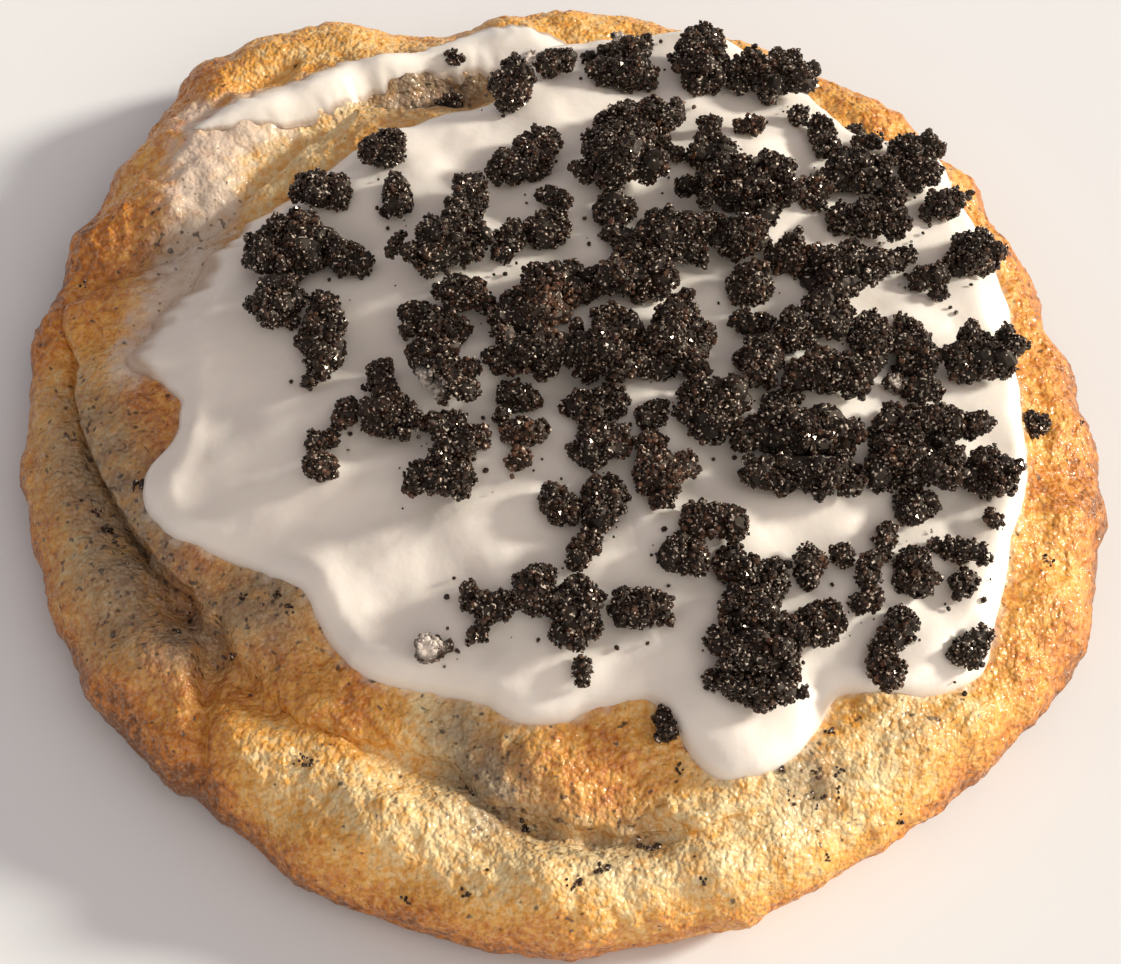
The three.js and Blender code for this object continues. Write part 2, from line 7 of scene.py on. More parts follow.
import logging
import math
from collections.abc import Callable
from dataclasses import dataclass, field
from enum import Enum
from typing import NamedTuple

import bpy
import numpy as np
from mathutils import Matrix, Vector

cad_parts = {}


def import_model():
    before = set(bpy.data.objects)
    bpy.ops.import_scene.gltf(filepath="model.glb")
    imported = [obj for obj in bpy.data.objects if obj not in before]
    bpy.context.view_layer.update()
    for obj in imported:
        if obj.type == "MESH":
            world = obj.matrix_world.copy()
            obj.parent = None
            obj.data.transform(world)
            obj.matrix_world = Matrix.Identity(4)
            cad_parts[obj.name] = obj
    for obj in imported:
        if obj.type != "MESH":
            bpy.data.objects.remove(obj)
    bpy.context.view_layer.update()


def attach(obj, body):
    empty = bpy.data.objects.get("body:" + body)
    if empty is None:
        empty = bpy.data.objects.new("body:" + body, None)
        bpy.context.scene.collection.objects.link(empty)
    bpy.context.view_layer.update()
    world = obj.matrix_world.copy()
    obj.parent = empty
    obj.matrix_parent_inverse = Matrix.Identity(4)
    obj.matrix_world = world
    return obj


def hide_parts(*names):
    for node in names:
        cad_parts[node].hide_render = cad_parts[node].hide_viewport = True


log = logging.getLogger("cookie")

MM = 0.001
POLE = np.array([0.1, -0.9, 0.0])  # where the pole lies in the shared frame, in millimetres
ROOT = "root"
FULL_TURN = 360.0
TINY = 1e-6
Array = np.ndarray
Layers = tuple[tuple[float, float], ...]  # length and height of each layer of noise


class Slot(Enum):
    """The record's material slots."""

    DOUGH = "dough"
    ICING = "icing"
    CRUMB = "crumb"


@dataclass(frozen=True)
class Spot:
    """A soft round patch on the cookie, seen from above.

    Args:
        x: Millimetres from the pole.
        y: Millimetres from the pole.
        radius: Where the patch has faded to about a third.
        strength: Its value in the middle.
    """

    x: float
    y: float
    radius: float
    strength: float = 1.0

    def at(self, x: Array, y: Array) -> Array:
        """Returns the patch's value at each place."""
        away = ((x - self.x) ** 2 + (y - self.y) ** 2) / self.radius**2
        return self.strength * np.exp(-away)


@dataclass(frozen=True)
class Ridge:
    """A soft ridge, or a furrow where its height is below zero, along a line of points.

    Args:
        line: Its points, in millimetres from the pole.
        height: How far it stands up in the middle.
        width: How far from its line it has faded to about a third.
    """

    line: tuple[tuple[float, float], ...]
    height: float
    width: float

    def at(self, x: Array, y: Array) -> Array:
        """Works out how far it stands up.

        Args:
            x: Millimetres from the pole.
            y: Millimetres from the pole.

        Returns:
            Millimetres for each place.
        """
        best = np.full(np.shape(x), np.inf)
        for (ax, ay), (bx, by) in zip(self.line, self.line[1:]):
            long = (bx - ax) ** 2 + (by - ay) ** 2
            t = np.clip(((x - ax) * (bx - ax) + (y - ay) * (by - ay)) / long, 0, 1)
            best = np.minimum(best, np.hypot(x - ax - t * (bx - ax), y - ay - t * (by - ay)))
        return self.height * np.exp(-((best / self.width) ** 2))


@dataclass(frozen=True)
class Lobe:
    """One lobe of a crumb, seen from above.

    Args:
        x: Millimetres from the pole to its middle.
        y: Millimetres from the pole to its middle.
        length: Its greater width.
        width: Its lesser width.
        turn: Degrees from +X to its length.
    """

    x: float
    y: float
    length: float
    width: float
    turn: float = 0.0


def spots(*rows: tuple[float, ...]) -> tuple[Spot, ...]:
    """Returns a Spot for each row of values."""
    return tuple(Spot(*row) for row in rows)


def covered(patches: tuple[Spot, ...], x: Array, y: Array) -> Array:
    """Works out the joint value of overlapping patches.

    Args:
        patches: The patches.
        x: Millimetres from the pole.
        y: Millimetres from the pole.

    Returns:
        A value from 0 to 1 for each place.
    """
    clear = np.ones(np.shape(x))
    for patch in patches:
        clear *= 1 - np.clip(patch.at(x, y), 0, 1)
    return 1 - clear


def smoothstep(value: Array, low: float, high: float) -> Array:
    """Returns 0 below low, 1 above high and a smooth step between."""
    t = np.clip((value - low) / (high - low), 0, 1)
    return t * t * (3 - 2 * t)


# ------------------------------------------------------------------ driving sizes

# Bearing, rim radius, crease radius, lip width, lip height, crease height, roll height, overhang.
SECTIONS = np.array([
    [0, 52.9, 45.0, 4.0, 13.6, 12.6, 11.4, 0.0],
    [15, 51.5, 43.5, 4.0, 13.8, 12.8, 11.6, 0.0],
    [30, 52.9, 44.5, 4.0, 13.8, 12.8, 11.6, 0.0],
    [45, 54.1, 45.5, 4.0, 13.6, 12.5, 11.4, 0.0],
    [60, 54.5, 45.5, 4.0, 13.6, 12.4, 11.2, 0.0],
    [75, 55.2, 44.5, 3.5, 13.8, 12.2, 11.2, 0.0],
    [90, 55.9, 42.4, 3.2, 14.2, 11.4, 11.3, 0.0],
    [105, 55.1, 39.8, 3.0, 14.8, 10.2, 11.6, 0.4],
    [120, 60.9, 41.8, 2.6, 14.8, 10.2, 12.5, 0.7],
    [135, 59.7, 41.4, 3.0, 14.2, 10.4, 12.4, 0.2],
    [150, 56.1, 42.5, 4.0, 12.8, 11.0, 11.4, 0.0],
    [162, 54.8, 50.8, 2.5, 9.8, 7.9, 7.4, 0.0],
    [172, 53.8, 48.0, 2.2, 11.6, 7.2, 7.9, 0.5],
    [183, 53.2, 44.8, 2.2, 12.8, 6.9, 8.8, 0.9],
    [195, 52.4, 42.2, 2.2, 13.6, 7.1, 9.4, 0.9],
    [208, 52.1, 41.0, 2.6, 13.6, 8.3, 10.0, 0.4],
    [220, 51.7, 41.6, 3.4, 12.8, 10.0, 10.6, 0.0],
    [232, 51.8, 41.6, 3.4, 12.6, 10.7, 11.3, 0.0],
    [245, 52.6, 40.6, 3.4, 13.0, 10.8, 11.6, 0.0],
    [255, 53.4, 40.4, 3.0, 13.0, 10.2, 11.7, 0.0],
    [263, 53.9, 43.4, 3.0, 12.4, 9.5, 11.0, 0.1],
    [272, 54.1, 45.6, 3.0, 12.0, 9.3, 10.4, 0.1],
    [282, 53.6, 46.6, 3.0, 11.8, 9.4, 10.0, 0.0],
    [293, 53.0, 46.4, 3.5, 12.2, 10.9, 10.1, 0.0],
    [307, 52.5, 45.5, 4.0, 12.8, 11.9, 10.7, 0.0],
    [322, 53.8, 45.5, 4.0, 13.2, 12.3, 11.0, 0.0],
    [340, 54.4, 45.5, 4.0, 13.4, 12.5, 11.2, 0.0],
])
CENTRE_HEIGHT = 19.0
EQUATOR_HEIGHT = 4.2
FOOT_STEP = 2.6
DOME_SHARES = (0.0, 0.28, 0.52, 0.74, 0.9)
DOME_POWER = 2.2
# Knots of the step below the lip: shares of the lip inwards, overhang outwards and drop.
LIP_KNOTS = ((0.3, 1.3, 0.34), (0.05, 0.9, 0.72))
# Knots of the roll: a share of its width, and one of its rise or fall.
ROLL_RISE = (0.2, 0.7)
ROLL_CREST = 0.45
ROLL_FALL = (0.78, 0.26)
ROLL_FALL_EASE = 0.4
RIM_EASE = 0.25
RIM_SHARE = 0.18
TUCK = 0.7
TUCK_HEIGHT = 1.7
WAVE_SIZES = ((17, 0.3), (13, 0.28), (10.5, 0.24), (8.4, 0.2), (7.1, 0.15))
WAVE_TILT = 30
WAVE_SEED = 4321
DRAW_FACTOR = 16807
DRAW_LIMIT = 2147483647
EVEN_BELOW = 3.5
FURROWS = (
    Ridge(((-32.5, -24.6), (-33.1, -30.0), (-34.2, -36.4), (-33.9, -40.1)), -1.6, 1.3),
    Ridge(((2.0, -46.1), (6.0, -45.3), (10.5, -45.0)), -0.9, 0.8),
    Ridge(((-33.5, 42.5), (-29.0, 45.0)), -1.0, 1.1),
    Ridge(((-38.5, 36.5), (-35.0, 40.5)), -1.0, 1.2),
    Ridge(((-19.7, 40.6), (-15.6, 40.4), (-11.5, 41.4), (-8.4, 40.9)), -1.3, 2.2),
)

ICING_CENTRE = (2.0, 2.0)
ICING_REACH = np.array([
    [0, 42.4], [8, 43.1], [16, 43.8], [24, 44.4], [32, 45.2], [40, 46.8], [44, 44.9], [48, 42.3],
    [54, 43.0], [60, 45.3], [64, 46.3], [72, 47.6], [80, 47.0], [88, 45.6], [94, 44.6], [98, 41.5],
    [101, 38.0], [104, 35.8], [112, 34.9], [120, 34.9], [128, 35.7], [136, 35.8], [144, 37.0],
    [152, 38.5], [160, 40.2], [168, 43.0], [173, 43.5], [176.5, 43.6], [180, 40.6], [184, 38.9],
    [188, 39.2], [191, 40.2], [194, 42.6], [197, 43.5], [200, 43.6], [204, 42.6], [208, 40.4],
    [216, 37.0], [224, 36.1], [232, 37.7], [240, 38.7], [248, 37.3], [256, 37.3], [264, 38.5],
    [272, 36.8], [279, 36.4], [282, 38.6], [283.5, 42.0], [286, 44.8], [290, 45.6], [296, 44.9],
    [300, 43.2], [304, 41.7], [308, 43.2], [312, 45.8], [316, 47.4], [320, 48.2], [324, 47.3],
    [328, 46.2], [336, 44.5], [344, 44.1], [352, 43.0],
])
# Bearing, width of the rounded edge, height of the edge itself.
ICING_EDGE = np.array([
    [0, 1.8, 0.5], [40, 2.0, 0.5], [80, 2.4, 0.5], [100, 3.4, 0.4], [130, 3.6, 0.3],
    [150, 5.0, 0.2], [165, 7.0, 0.12], [176, 6.0, 0.12], [184, 3.0, 0.4], [196, 2.6, 0.5],
    [215, 2.4, 0.6], [250, 1.8, 0.4], [276, 1.8, 0.4], [285, 3.6, 0.7], [298, 3.4, 0.7],
    [306, 2.2, 0.4], [330, 1.8, 0.5],
])
ICING_THICKNESS = 1.9
ICING_GAP = 0.35
DRIP = Spot(17.5, -37.5, 8.0, 1.1)
# Bearing and radius about the icing's middle, half width.
STREAK = np.array([
    [88, 42.6, 3.0], [96, 44.6, 3.6], [104, 46.4, 3.2], [110, 45.9, 1.8], [116, 46.3, 2.0],
    [121, 46.5, 2.4], [127, 46.9, 2.6], [132, 47.9, 2.6], [137, 50.0, 2.2], [140, 51.4, 1.2],
])
STREAK_THICKNESS = 1.0
ICING_RIDGES = (
    Ridge(((-23.1, 26.7), (-26.0, 23.8), (-29.6, 18.7), (-32.5, 13.0), (-34.3, 7.8), (-35.3, 2.8),
           (-35.5, -1.9), (-35.3, -6.5), (-36.8, -10.7), (-37.7, -12.5)), 0.55, 1.6),
    Ridge(((-35.0, -10.9), (-31.3, -8.8), (-26.6, -6.7), (-21.9, -4.9)), 0.25, 1.8),
    Ridge(((-36.3, -14.4), (-33.3, -17.8), (-28.9, -20.2), (-24.2, -23.1)), 0.22, 1.8),
    Ridge(((-21.3, -24.3), (-14.9, -21.1), (-7.5, -17.5), (0.0, -12.5)), 0.28, 2.4),
    Ridge(((-20.3, -28.2), (-15.6, -30.5), (-10.1, -31.3), (-3.7, -34.0)), 0.25, 1.6),
    Ridge(((7.4, -18.7), (3.6, -22.7), (0.0, -27.6)), 0.3, 2.0),
    Ridge(((-27.0, 20.0), (-30.0, 8.0), (-30.5, -2.0)), -0.2, 3.0),
)

HEIGHT_SHARE = 0.72
HEIGHT_MORE = 0.4
SINK = 0.16

# Crumbs as big as berries, one row for each CAD node, each lobe x, y, length, width, turn.
CHUNKS = (
    ((-25.6, 14.2, 11.2, 8.4, 0), (-20.6, 12.8, 5.6, 4.6, -20)),
    ((-11.2, 11.8, 10.8, 7.6, 25), (-9.4, 6.8, 6.6, 6.0, -10)),
    ((-3.0, 3.6, 9.2, 7.0, 20), (-3.0, -0.9, 8.4, 5.6, 0)),
    ((0.0, 7.8, 9.2, 5.4, -5), (6.6, 8.4, 10.0, 6.2, 0)),
    ((4.2, -0.6, 11.2, 7.4, 0),),
    ((11.2, 1.2, 10.2, 8.0, 80),),
    ((6.0, 23.4, 9.6, 8.6, 30), (5.2, 17.9, 6.0, 5.6, 60)),
    ((17.8, 20.7, 11.8, 8.8, 0), (15.2, 25.8, 6.4, 4.6, 10), (17.4, 14.6, 7.4, 6.4, 20)),
    ((29.2, 25.4, 9.8, 5.6, 0), (30.0, 18.4, 9.4, 5.4, 0), (33.0, 22.0, 6.0, 3.4, 90),
     (25.2, 22.4, 6.0, 3.4, 90)),
    ((27.5, 11.0, 10.2, 7.6, 15), (25.8, 5.2, 7.0, 5.4, 90)),
    ((25.7, -2.0, 10.2, 5.8, 0),),
    ((14.4, -6.8, 8.6, 8.0, 0),),
    ((21.8, -8.8, 13.4, 7.4, 0), (23.0, -13.4, 11.8, 5.6, -5)),
    ((34.5, -6.6, 13.0, 6.2, 0), (32.5, -11.4, 12.4, 7.4, 0), (33.3, -14.8, 5.0, 4.0, 0)),
    ((17.8, -27.4, 7.6, 5.6, 0), (17.8, -31.4, 9.6, 7.4, 0), (17.7, -34.4, 9.6, 5.0, 0)),
    ((14.2, 40.2, 9.6, 7.0, 90),),
    ((21.6, 38.3, 11.4, 6.4, 0),),
    ((8.3, 30.0, 10.6, 6.8, 15),),
    ((11.0, 13.6, 9.2, 7.8, 10), (6.6, 13.6, 5.4, 3.8, -20)),
)
# Smaller crumbs that lie in the icing.
CRUMBS = (
    (-23.6, 21.3, 7.0, 5.2, 0), (-17.5, 26.3, 5.9, 4.4, 15), (-16.2, 20.0, 5.1, 3.8, 90),
    (-27.3, 7.1, 6.8, 5.6, 65), (-22.7, 2.8, 11.5, 5.0, 85), (-9.1, 18.3, 7.6, 4.4, 85),
    (-12.3, 3.1, 8.4, 4.6, -30), (-17.0, -2.6, 5.5, 3.0, 90), (-16.2, -6.8, 6.6, 5.8, 0),
    (-11.0, -3.1, 8.2, 6.4, -30), (-11.0, -8.0, 5.0, 3.2, -5), (-20.2, -6.3, 4.6, 2.9, 80),
    (-22.2, -8.9, 4.0, 2.5, 10), (-22.4, -12.3, 4.4, 3.2, -25), (-10.9, -14.2, 8.2, 5.4, 0),
    (-9.2, -10.7, 7.2, 3.6, 30), (-4.0, -4.9, 5.0, 3.4, -15), (-5.6, -7.4, 2.0, 2.0, 0),
    (-3.3, -9.4, 4.4, 3.4, 0), (-3.9, -12.3, 2.6, 2.6, 0), (-0.3, -16.8, 5.4, 3.8, -50),
    (3.8, -16.5, 6.0, 4.8, 70), (2.1, -21.7, 4.6, 3.4, 50), (-8.4, -25.3, 3.4, 2.3, 90),
    (-6.0, -27.1, 5.4, 3.8, 0), (-7.4, -28.8, 3.0, 2.0, 70), (-2.2, -25.7, 6.2, 4.2, 75),
    (1.5, -27.7, 8.6, 6.0, 80), (1.9, -32.9, 3.6, 2.2, 100), (7.2, -27.2, 7.0, 5.0, 10),
    (-12.0, -30.4, 3.2, 3.0, 0), (-4.9, 35.5, 6.8, 5.0, 90), (-0.7, 40.1, 5.0, 3.4, 20),
    (-3.0, 44.6, 2.4, 2.2, 0), (-4.1, 23.9, 7.8, 4.6, 0), (-2.2, 27.3, 5.2, 4.2, 10),
    (-0.9, 19.2, 4.6, 2.7, -10), (-5.0, 13.4, 5.4, 3.4, 70), (-1.3, 15.0, 5.6, 4.4, 30),
    (6.9, 38.4, 8.0, 5.0, -5), (7.5, 41.6, 5.0, 3.8, -20), (4.8, 43.6, 2.8, 2.6, 0),
    (6.4, 45.4, 2.6, 2.2, 0), (8.6, 45.0, 2.2, 1.8, 0), (3.0, 42.1, 1.8, 1.6, 0),
    (11.4, 25.6, 2.6, 2.4, 0), (14.9, 30.8, 2.6, 2.4, 0), (19.2, 30.5, 3.8, 2.4, 10),
    (24.1, 33.4, 2.6, 2.4, 0), (26.5, 30.4, 5.8, 3.4, 100), (31.0, 30.5, 4.0, 2.3, 15),
    (35.6, 29.0, 6.4, 4.2, 10), (35.2, 31.5, 1.9, 1.7, 0), (36.0, 25.6, 5.6, 3.8, 20),
    (38.0, 21.9, 5.0, 3.8, 10), (40.7, 15.7, 6.4, 5.8, 90), (22.0, 12.6, 5.8, 3.8, 75),
    (18.4, 8.4, 5.6, 5.0, 60), (18.0, 4.2, 5.0, 3.0, -10), (22.3, 2.7, 6.0, 4.6, 80),
    (32.9, 14.7, 4.9, 2.8, 25), (35.9, 12.5, 4.8, 2.9, 25), (36.9, 10.2, 2.2, 2.0, 0),
    (29.6, 3.1, 6.8, 4.6, 85), (34.0, 3.4, 8.4, 5.6, 100), (34.5, -1.9, 4.9, 3.0, 0),
    (31.9, -1.6, 2.2, 2.0, 0), (40.7, 2.1, 8.4, 7.2, 20), (19.0, -0.6, 6.8, 4.8, 75),
    (21.4, -4.3, 3.8, 2.0, 0), (40.9, -11.2, 7.0, 6.2, -20), (40.6, -15.5, 2.2, 2.0, 0),
    (4.6, 4.4, 3.4, 2.0, 10), (3.4, -6.4, 7.2, 3.8, 15), (3.9, -10.7, 8.0, 4.8, 20),
    (8.4, -7.6, 4.4, 2.8, 40), (8.9, -12.9, 9.6, 4.8, 100), (11.5, -12.6, 3.8, 3.0, 30),
    (14.1, -18.7, 7.0, 4.6, 0), (11.5, -22.3, 6.4, 4.6, -15), (16.0, -22.5, 5.6, 4.4, -20),
    (19.6, -23.2, 4.2, 3.4, 100), (23.5, -27.8, 7.2, 4.6, 30), (23.0, -21.7, 4.6, 3.2, 80),
    (26.2, -20.6, 2.8, 2.6, 0), (30.2, -18.6, 4.6, 2.4, 85), (28.5, -22.3, 4.4, 3.0, 75),
    (28.1, -25.3, 3.4, 2.8, 0), (32.8, -22.0, 6.4, 4.2, 85), (37.2, -18.8, 5.6, 2.8, -10),
    (37.5, -22.1, 3.4, 2.8, 70), (30.9, -27.4, 5.0, 3.6, 60), (29.8, -31.0, 5.4, 3.8, 100),
    (37.7, -28.3, 5.4, 3.8, 50), (6.1, 3.6, 2.4, 2.2, 0),
)
# Crumbs on bare dough.
STRAYS = (
    (46.0, -2.0, 2.8, 2.6, 0), (9.6, -36.3, 4.2, 2.5, 90), (30.2, 34.4, 2.3, 1.9, 0),
    (35.0, 31.6, 1.6, 1.4, 0), (41.0, 27.0, 2.6, 1.1, 40), (-11.4, 40.6, 3.0, 2.6, 0),
    (-11.0, 44.8, 2.2, 2.0, 0),
)
# Loose specks: x, y, size.
SPECKS = (
    (-10.3, -29.9, 1.2), (-8.5, -29.7, 0.8), (-9.4, -30.4, 0.6), (-10.5, -24.9, 0.7),
    (5.2, -25.6, 0.6), (39.4, -23.2, 0.7), (36.0, -24.4, 0.5), (13.2, -16.2, 1.0),
    (23.4, 16.6, 1.2), (23.4, -23.4, 1.2),
)
# Dark flakes baked into the bare dough: x, y, size.
FLAKES = (
    (-23.8, -38.5, 1.0), (-22.9, -38.9, 0.8), (-3.3, -44.2, 1.2), (-7.0, -49.1, 0.8),
    (4.2, -48.8, 1.4), (3.2, -49.4, 1.0), (1.8, -50.5, 1.3), (0.6, -50.9, 0.9), (-7.5, -41.1, 0.8),
    (-8.5, -50.8, 0.8), (-14.1, -50.6, 1.0), (-18.6, -28.9, 0.8), (23.4, -40.0, 1.2),
    (25.3, -39.4, 1.0), (23.6, -41.6, 1.2), (25.3, -41.1, 0.8), (20.8, -41.9, 1.0),
    (19.9, -39.9, 0.9), (24.5, -36.0, 1.1), (11.0, -40.1, 0.9), (8.8, -45.8, 1.3),
    (7.2, -46.1, 1.4), (20.2, -47.1, 1.0), (24.4, -46.3, 0.8), (12.9, -49.6, 0.7),
    (-40.7, -9.3, 1.6), (-39.9, -9.0, 1.2), (-48.1, 18.9, 1.0), (-27.4, -19.5, 1.2),
    (-43.5, -11.6, 1.3), (-46.0, -8.7, 0.9), (-35.8, -23.8, 1.0), (-42.3, -13.4, 1.2),
    (-41.2, -16.0, 1.0), (-44.6, -10.0, 0.8), (-26.5, -22.4, 1.3), (-28.2, -23.8, 1.0),
    (-25.2, -24.0, 1.1), (-29.7, -22.1, 0.8), (50.8, 0.5, 0.9), (46.4, -16.6, 0.9),
    (31.3, -41.8, 0.8), (-34.9, -21.2, 1.0), (-30.8, -27.2, 0.9),
)


# ------------------------------------------------------------------ noise and meshes


class Noise:
    """Seeded smooth noise over points in millimetres."""

    SIZE = 256
    CORNERS = [(i, j, k) for i in (0, 1) for j in (0, 1) for k in (0, 1)]
    GAIN = 1.5
    FAR = 9.0

    def __init__(self, seed: int) -> None:
        """Draws the tables.

        Args:
            seed: Any whole number; equal seeds give equal noise.
        """
        draw = np.random.default_rng(seed)
        self.table = draw.permutation(self.SIZE)
        ways = draw.normal(size=(self.SIZE, 3))
        self.ways = ways / np.linalg.norm(ways, axis=1, keepdims=True)
        self.places = draw.random((self.SIZE, 3))

    def _hash(self, cell: Array) -> Array:
        """Mixes the three numbers of each cell.

        Args:
            cell: Whole-numbered cells, one to a row.

        Returns:
            A table index for each cell.
        """
        mixed = self.table[cell[:, 0] % self.SIZE]
        mixed = self.table[(mixed + cell[:, 1]) % self.SIZE]
        return self.table[(mixed + cell[:, 2]) % self.SIZE]

    def smooth(self, points: Array, length: float) -> Array:
        """Works out the noise at some points.

        Args:
            points: Places in millimetres, one to a row.
            length: The millimetres over which the noise varies.

        Returns:
            Values of about -1 to 1.
        """
        scaled = points / length
        cell = np.floor(scaled).astype(int)
        inside = scaled - cell
        ease = inside**3 * (inside * (inside * 6 - 15) + 10)
        total = np.zeros(len(points))
        for corner in self.CORNERS:
            away = inside - corner
            share = np.prod(np.where(np.array(corner) == 1, ease, 1 - ease), axis=1)
            total += share * np.einsum("ij,ij->i", self.ways[self._hash(cell + corner)], away)
        return self.GAIN * total

    def layers(self, points: Array, layers: Layers) -> Array:
        """Returns the noise summed over layers, each given as its length and height."""
        return sum(height * self.smooth(points, length) for length, height in layers)

    def cells(self, points: Array, length: float) -> Array:
        """Works out the distance to the nearest of scattered points, about one in each cell.

        Args:
            points: Places in millimetres, one to a row.
            length: The millimetres across a cell.

        Returns:
            The distances, in cells.
        """
        scaled = points / length
        cell = np.floor(scaled).astype(int)
        best = np.full(len(points), self.FAR)
        for step in np.ndindex(3, 3, 3):
            near = cell + np.array(step) - 1
            away = near + self.places[self._hash(near)] - scaled
            best = np.minimum(best, np.einsum("ij,ij->i", away, away))
        return np.sqrt(best)


def icosphere(level: int) -> tuple[Array, Array]:
    """Makes a ball of even triangles.

    Args:
        level: How many times each triangle of the icosahedron is split in four.

    Returns:
        The ball's points, as directions, and its triangles.
    """
    g = (1 + 5**0.5) / 2
    points = [(-1, g, 0), (1, g, 0), (-1, -g, 0), (1, -g, 0), (0, -1, g), (0, 1, g),
              (0, -1, -g), (0, 1, -g), (g, 0, -1), (g, 0, 1), (-g, 0, -1), (-g, 0, 1)]
    faces = [(0, 11, 5), (0, 5, 1), (0, 1, 7), (0, 7, 10), (0, 10, 11), (1, 5, 9), (5, 11, 4),
             (11, 10, 2), (10, 7, 6), (7, 1, 8), (3, 9, 4), (3, 4, 2), (3, 2, 6), (3, 6, 8),
             (3, 8, 9), (4, 9, 5), (2, 4, 11), (6, 2, 10), (8, 6, 7), (9, 8, 1)]
    for _ in range(level):
        middles: dict[tuple[int, int], int] = {}

        def middle(a: int, b: int) -> int:
            """Finds or makes the point half way along an edge.

            Args:
                a: The index of one end.
                b: The index of the other end.

            Returns:
                The point's index.
            """
            key = (min(a, b), max(a, b))
            if key not in middles:
                middles[key] = len(points)
                points.append(tuple((p + q) / 2 for p, q in zip(points[a], points[b])))
            return middles[key]

        split = []
        for a, b, c in faces:
            ab, bc, ca = middle(a, b), middle(b, c), middle(c, a)
            split += [(a, ab, ca), (b, bc, ab), (c, ca, bc), (ab, bc, ca)]
        faces = split
    ways = np.array(points, float)
    return ways / np.linalg.norm(ways, axis=1, keepdims=True), np.array(faces)


def around(rows: Array, bearing: Array) -> Array:
    """Reads a table of values at any bearing, smoothly all round.

    Args:
        rows: The table; each row starts with its bearing in degrees.
        bearing: The bearings to read at.

    Returns:
        The rest of a row for each bearing, along the last axis.
    """
    at, values = rows[:, 0], rows[:, 1:]
    turn = np.asarray(bearing, float) % FULL_TURN
    count = len(rows)
    i = np.searchsorted(at, turn, side="right") - 1

    def place(k: Array) -> Array:
        """Returns the bearing of row k, counted on past a full turn."""
        return at[k % count] + FULL_TURN * (k // count)

    span = place(i + 1) - place(i)
    t = ((turn - place(i)) / span)[..., None]

    def slope(k: Array) -> Array:
        """Returns how fast the values rise at row k, over the present span."""
        rise = values[(k + 1) % count] - values[(k - 1) % count]
        return rise * (span / (place(k + 1) - place(k - 1)))[..., None]

    low, high = values[i % count], values[(i + 1) % count]
    ease = t * t * (3 - 2 * t)
    bend = slope(i) * t * (1 - t) ** 2 - slope(i + 1) * t * t * (1 - t)
    return low + (high - low) * ease + bend


def evenly(count: int) -> Array:
    """Returns bearings in degrees, spread evenly over a full turn."""
    return np.arange(count) * 360 / count


def circle(bearing: Array, radius: float) -> Array:
    """Returns the points of a level circle at some bearings in degrees."""
    way = np.radians(bearing)
    return radius * np.stack([np.cos(way), np.sin(way), np.zeros_like(way)], -1)


def on_floor(x: Array, y: Array) -> Array:
    """Returns the points at height zero, one to a row."""
    return np.stack([x.ravel(), y.ravel(), np.zeros(x.size)], -1)


@dataclass
class MeshData:
    """A growing set of points in millimetres, triangles and values at the points."""

    points: list[Array] = field(default_factory=list)
    faces: list[Array] = field(default_factory=list)
    values: dict[str, list[Array]] = field(default_factory=dict)
    count: int = 0

    def add(self, points: Array, faces: Array, **values: Array) -> None:
        """Adds a part.

        Args:
            points: Its points, in millimetres about the pole.
            faces: Its triangles, as indices into its own points.
            values: Its named values, one for each point.
        """
        self.points.append(points)
        self.faces.append(faces + self.count)
        for name, value in values.items():
            self.values.setdefault(name, []).append(np.broadcast_to(value, len(points)))
        self.count += len(points)

    def build(self, name: str, finish: bpy.types.Material, slot: Slot,
              rounded: bool = True) -> bpy.types.Object:
        """Makes a mesh object of the parts, riding on the cookie's body.

        Args:
            name: The object's name.
            finish: Its material.
            slot: The record's material slot that it stands for; not used.
            rounded: Whether it is shaded smooth rather than by facets.

        Returns:
            The object.
        """
        points = (np.concatenate(self.points) + POLE) * MM
        faces = np.concatenate(self.faces)
        mesh = bpy.data.meshes.new(name)
        mesh.vertices.add(len(points))
        mesh.vertices.foreach_set("co", points.astype(np.float32).ravel())
        mesh.loops.add(faces.size)
        mesh.loops.foreach_set("vertex_index", faces.astype(np.int32).ravel())
        mesh.polygons.add(len(faces))
        mesh.polygons.foreach_set("loop_start", np.arange(0, faces.size, 3, dtype=np.int32))
        mesh.polygons.foreach_set("use_smooth", np.full(len(faces), rounded))
        mesh.update(calc_edges=True)
        for key, parts in self.values.items():
            attribute = mesh.attributes.new(key, "FLOAT", "POINT")
            attribute.data.foreach_set("value", np.concatenate(parts).astype(np.float32))
        mesh.materials.append(finish)
        made = bpy.data.objects.new(name, mesh)
        bpy.context.scene.collection.objects.link(made)
        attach(made, ROOT)
        log.info("%s has %d triangles", name, len(faces))
        return made


def tube_faces(rings: int, count: int, ends: int) -> Array:
    """Makes the triangles of a closed tube.

    Args:
        rings: How many rings of points it has, each closed on itself.
        count: How many points each ring has.
        ends: The index of the point that closes the first ring; the next closes the last.

    Returns:
        The triangles, as indices into the points, ring by ring.
    """
    ring, k = np.meshgrid(np.arange(rings - 1), np.arange(count), indexing="ij")
    a, b = ring * count + k, ring * count + (k + 1) % count
    c, d = a + count, b + count
    k = np.arange(count)
    near, beside = k, (k + 1) % count
    last = (rings - 1) * count
    return np.concatenate([
        np.stack([a, c, d], -1).reshape(-1, 3),
        np.stack([a, d, b], -1).reshape(-1, 3),
        np.stack([np.full(count, ends), near, beside], -1),
        np.stack([np.full(count, ends + 1), last + beside, last + near], -1),
    ])


# ------------------------------------------------------------------ dough


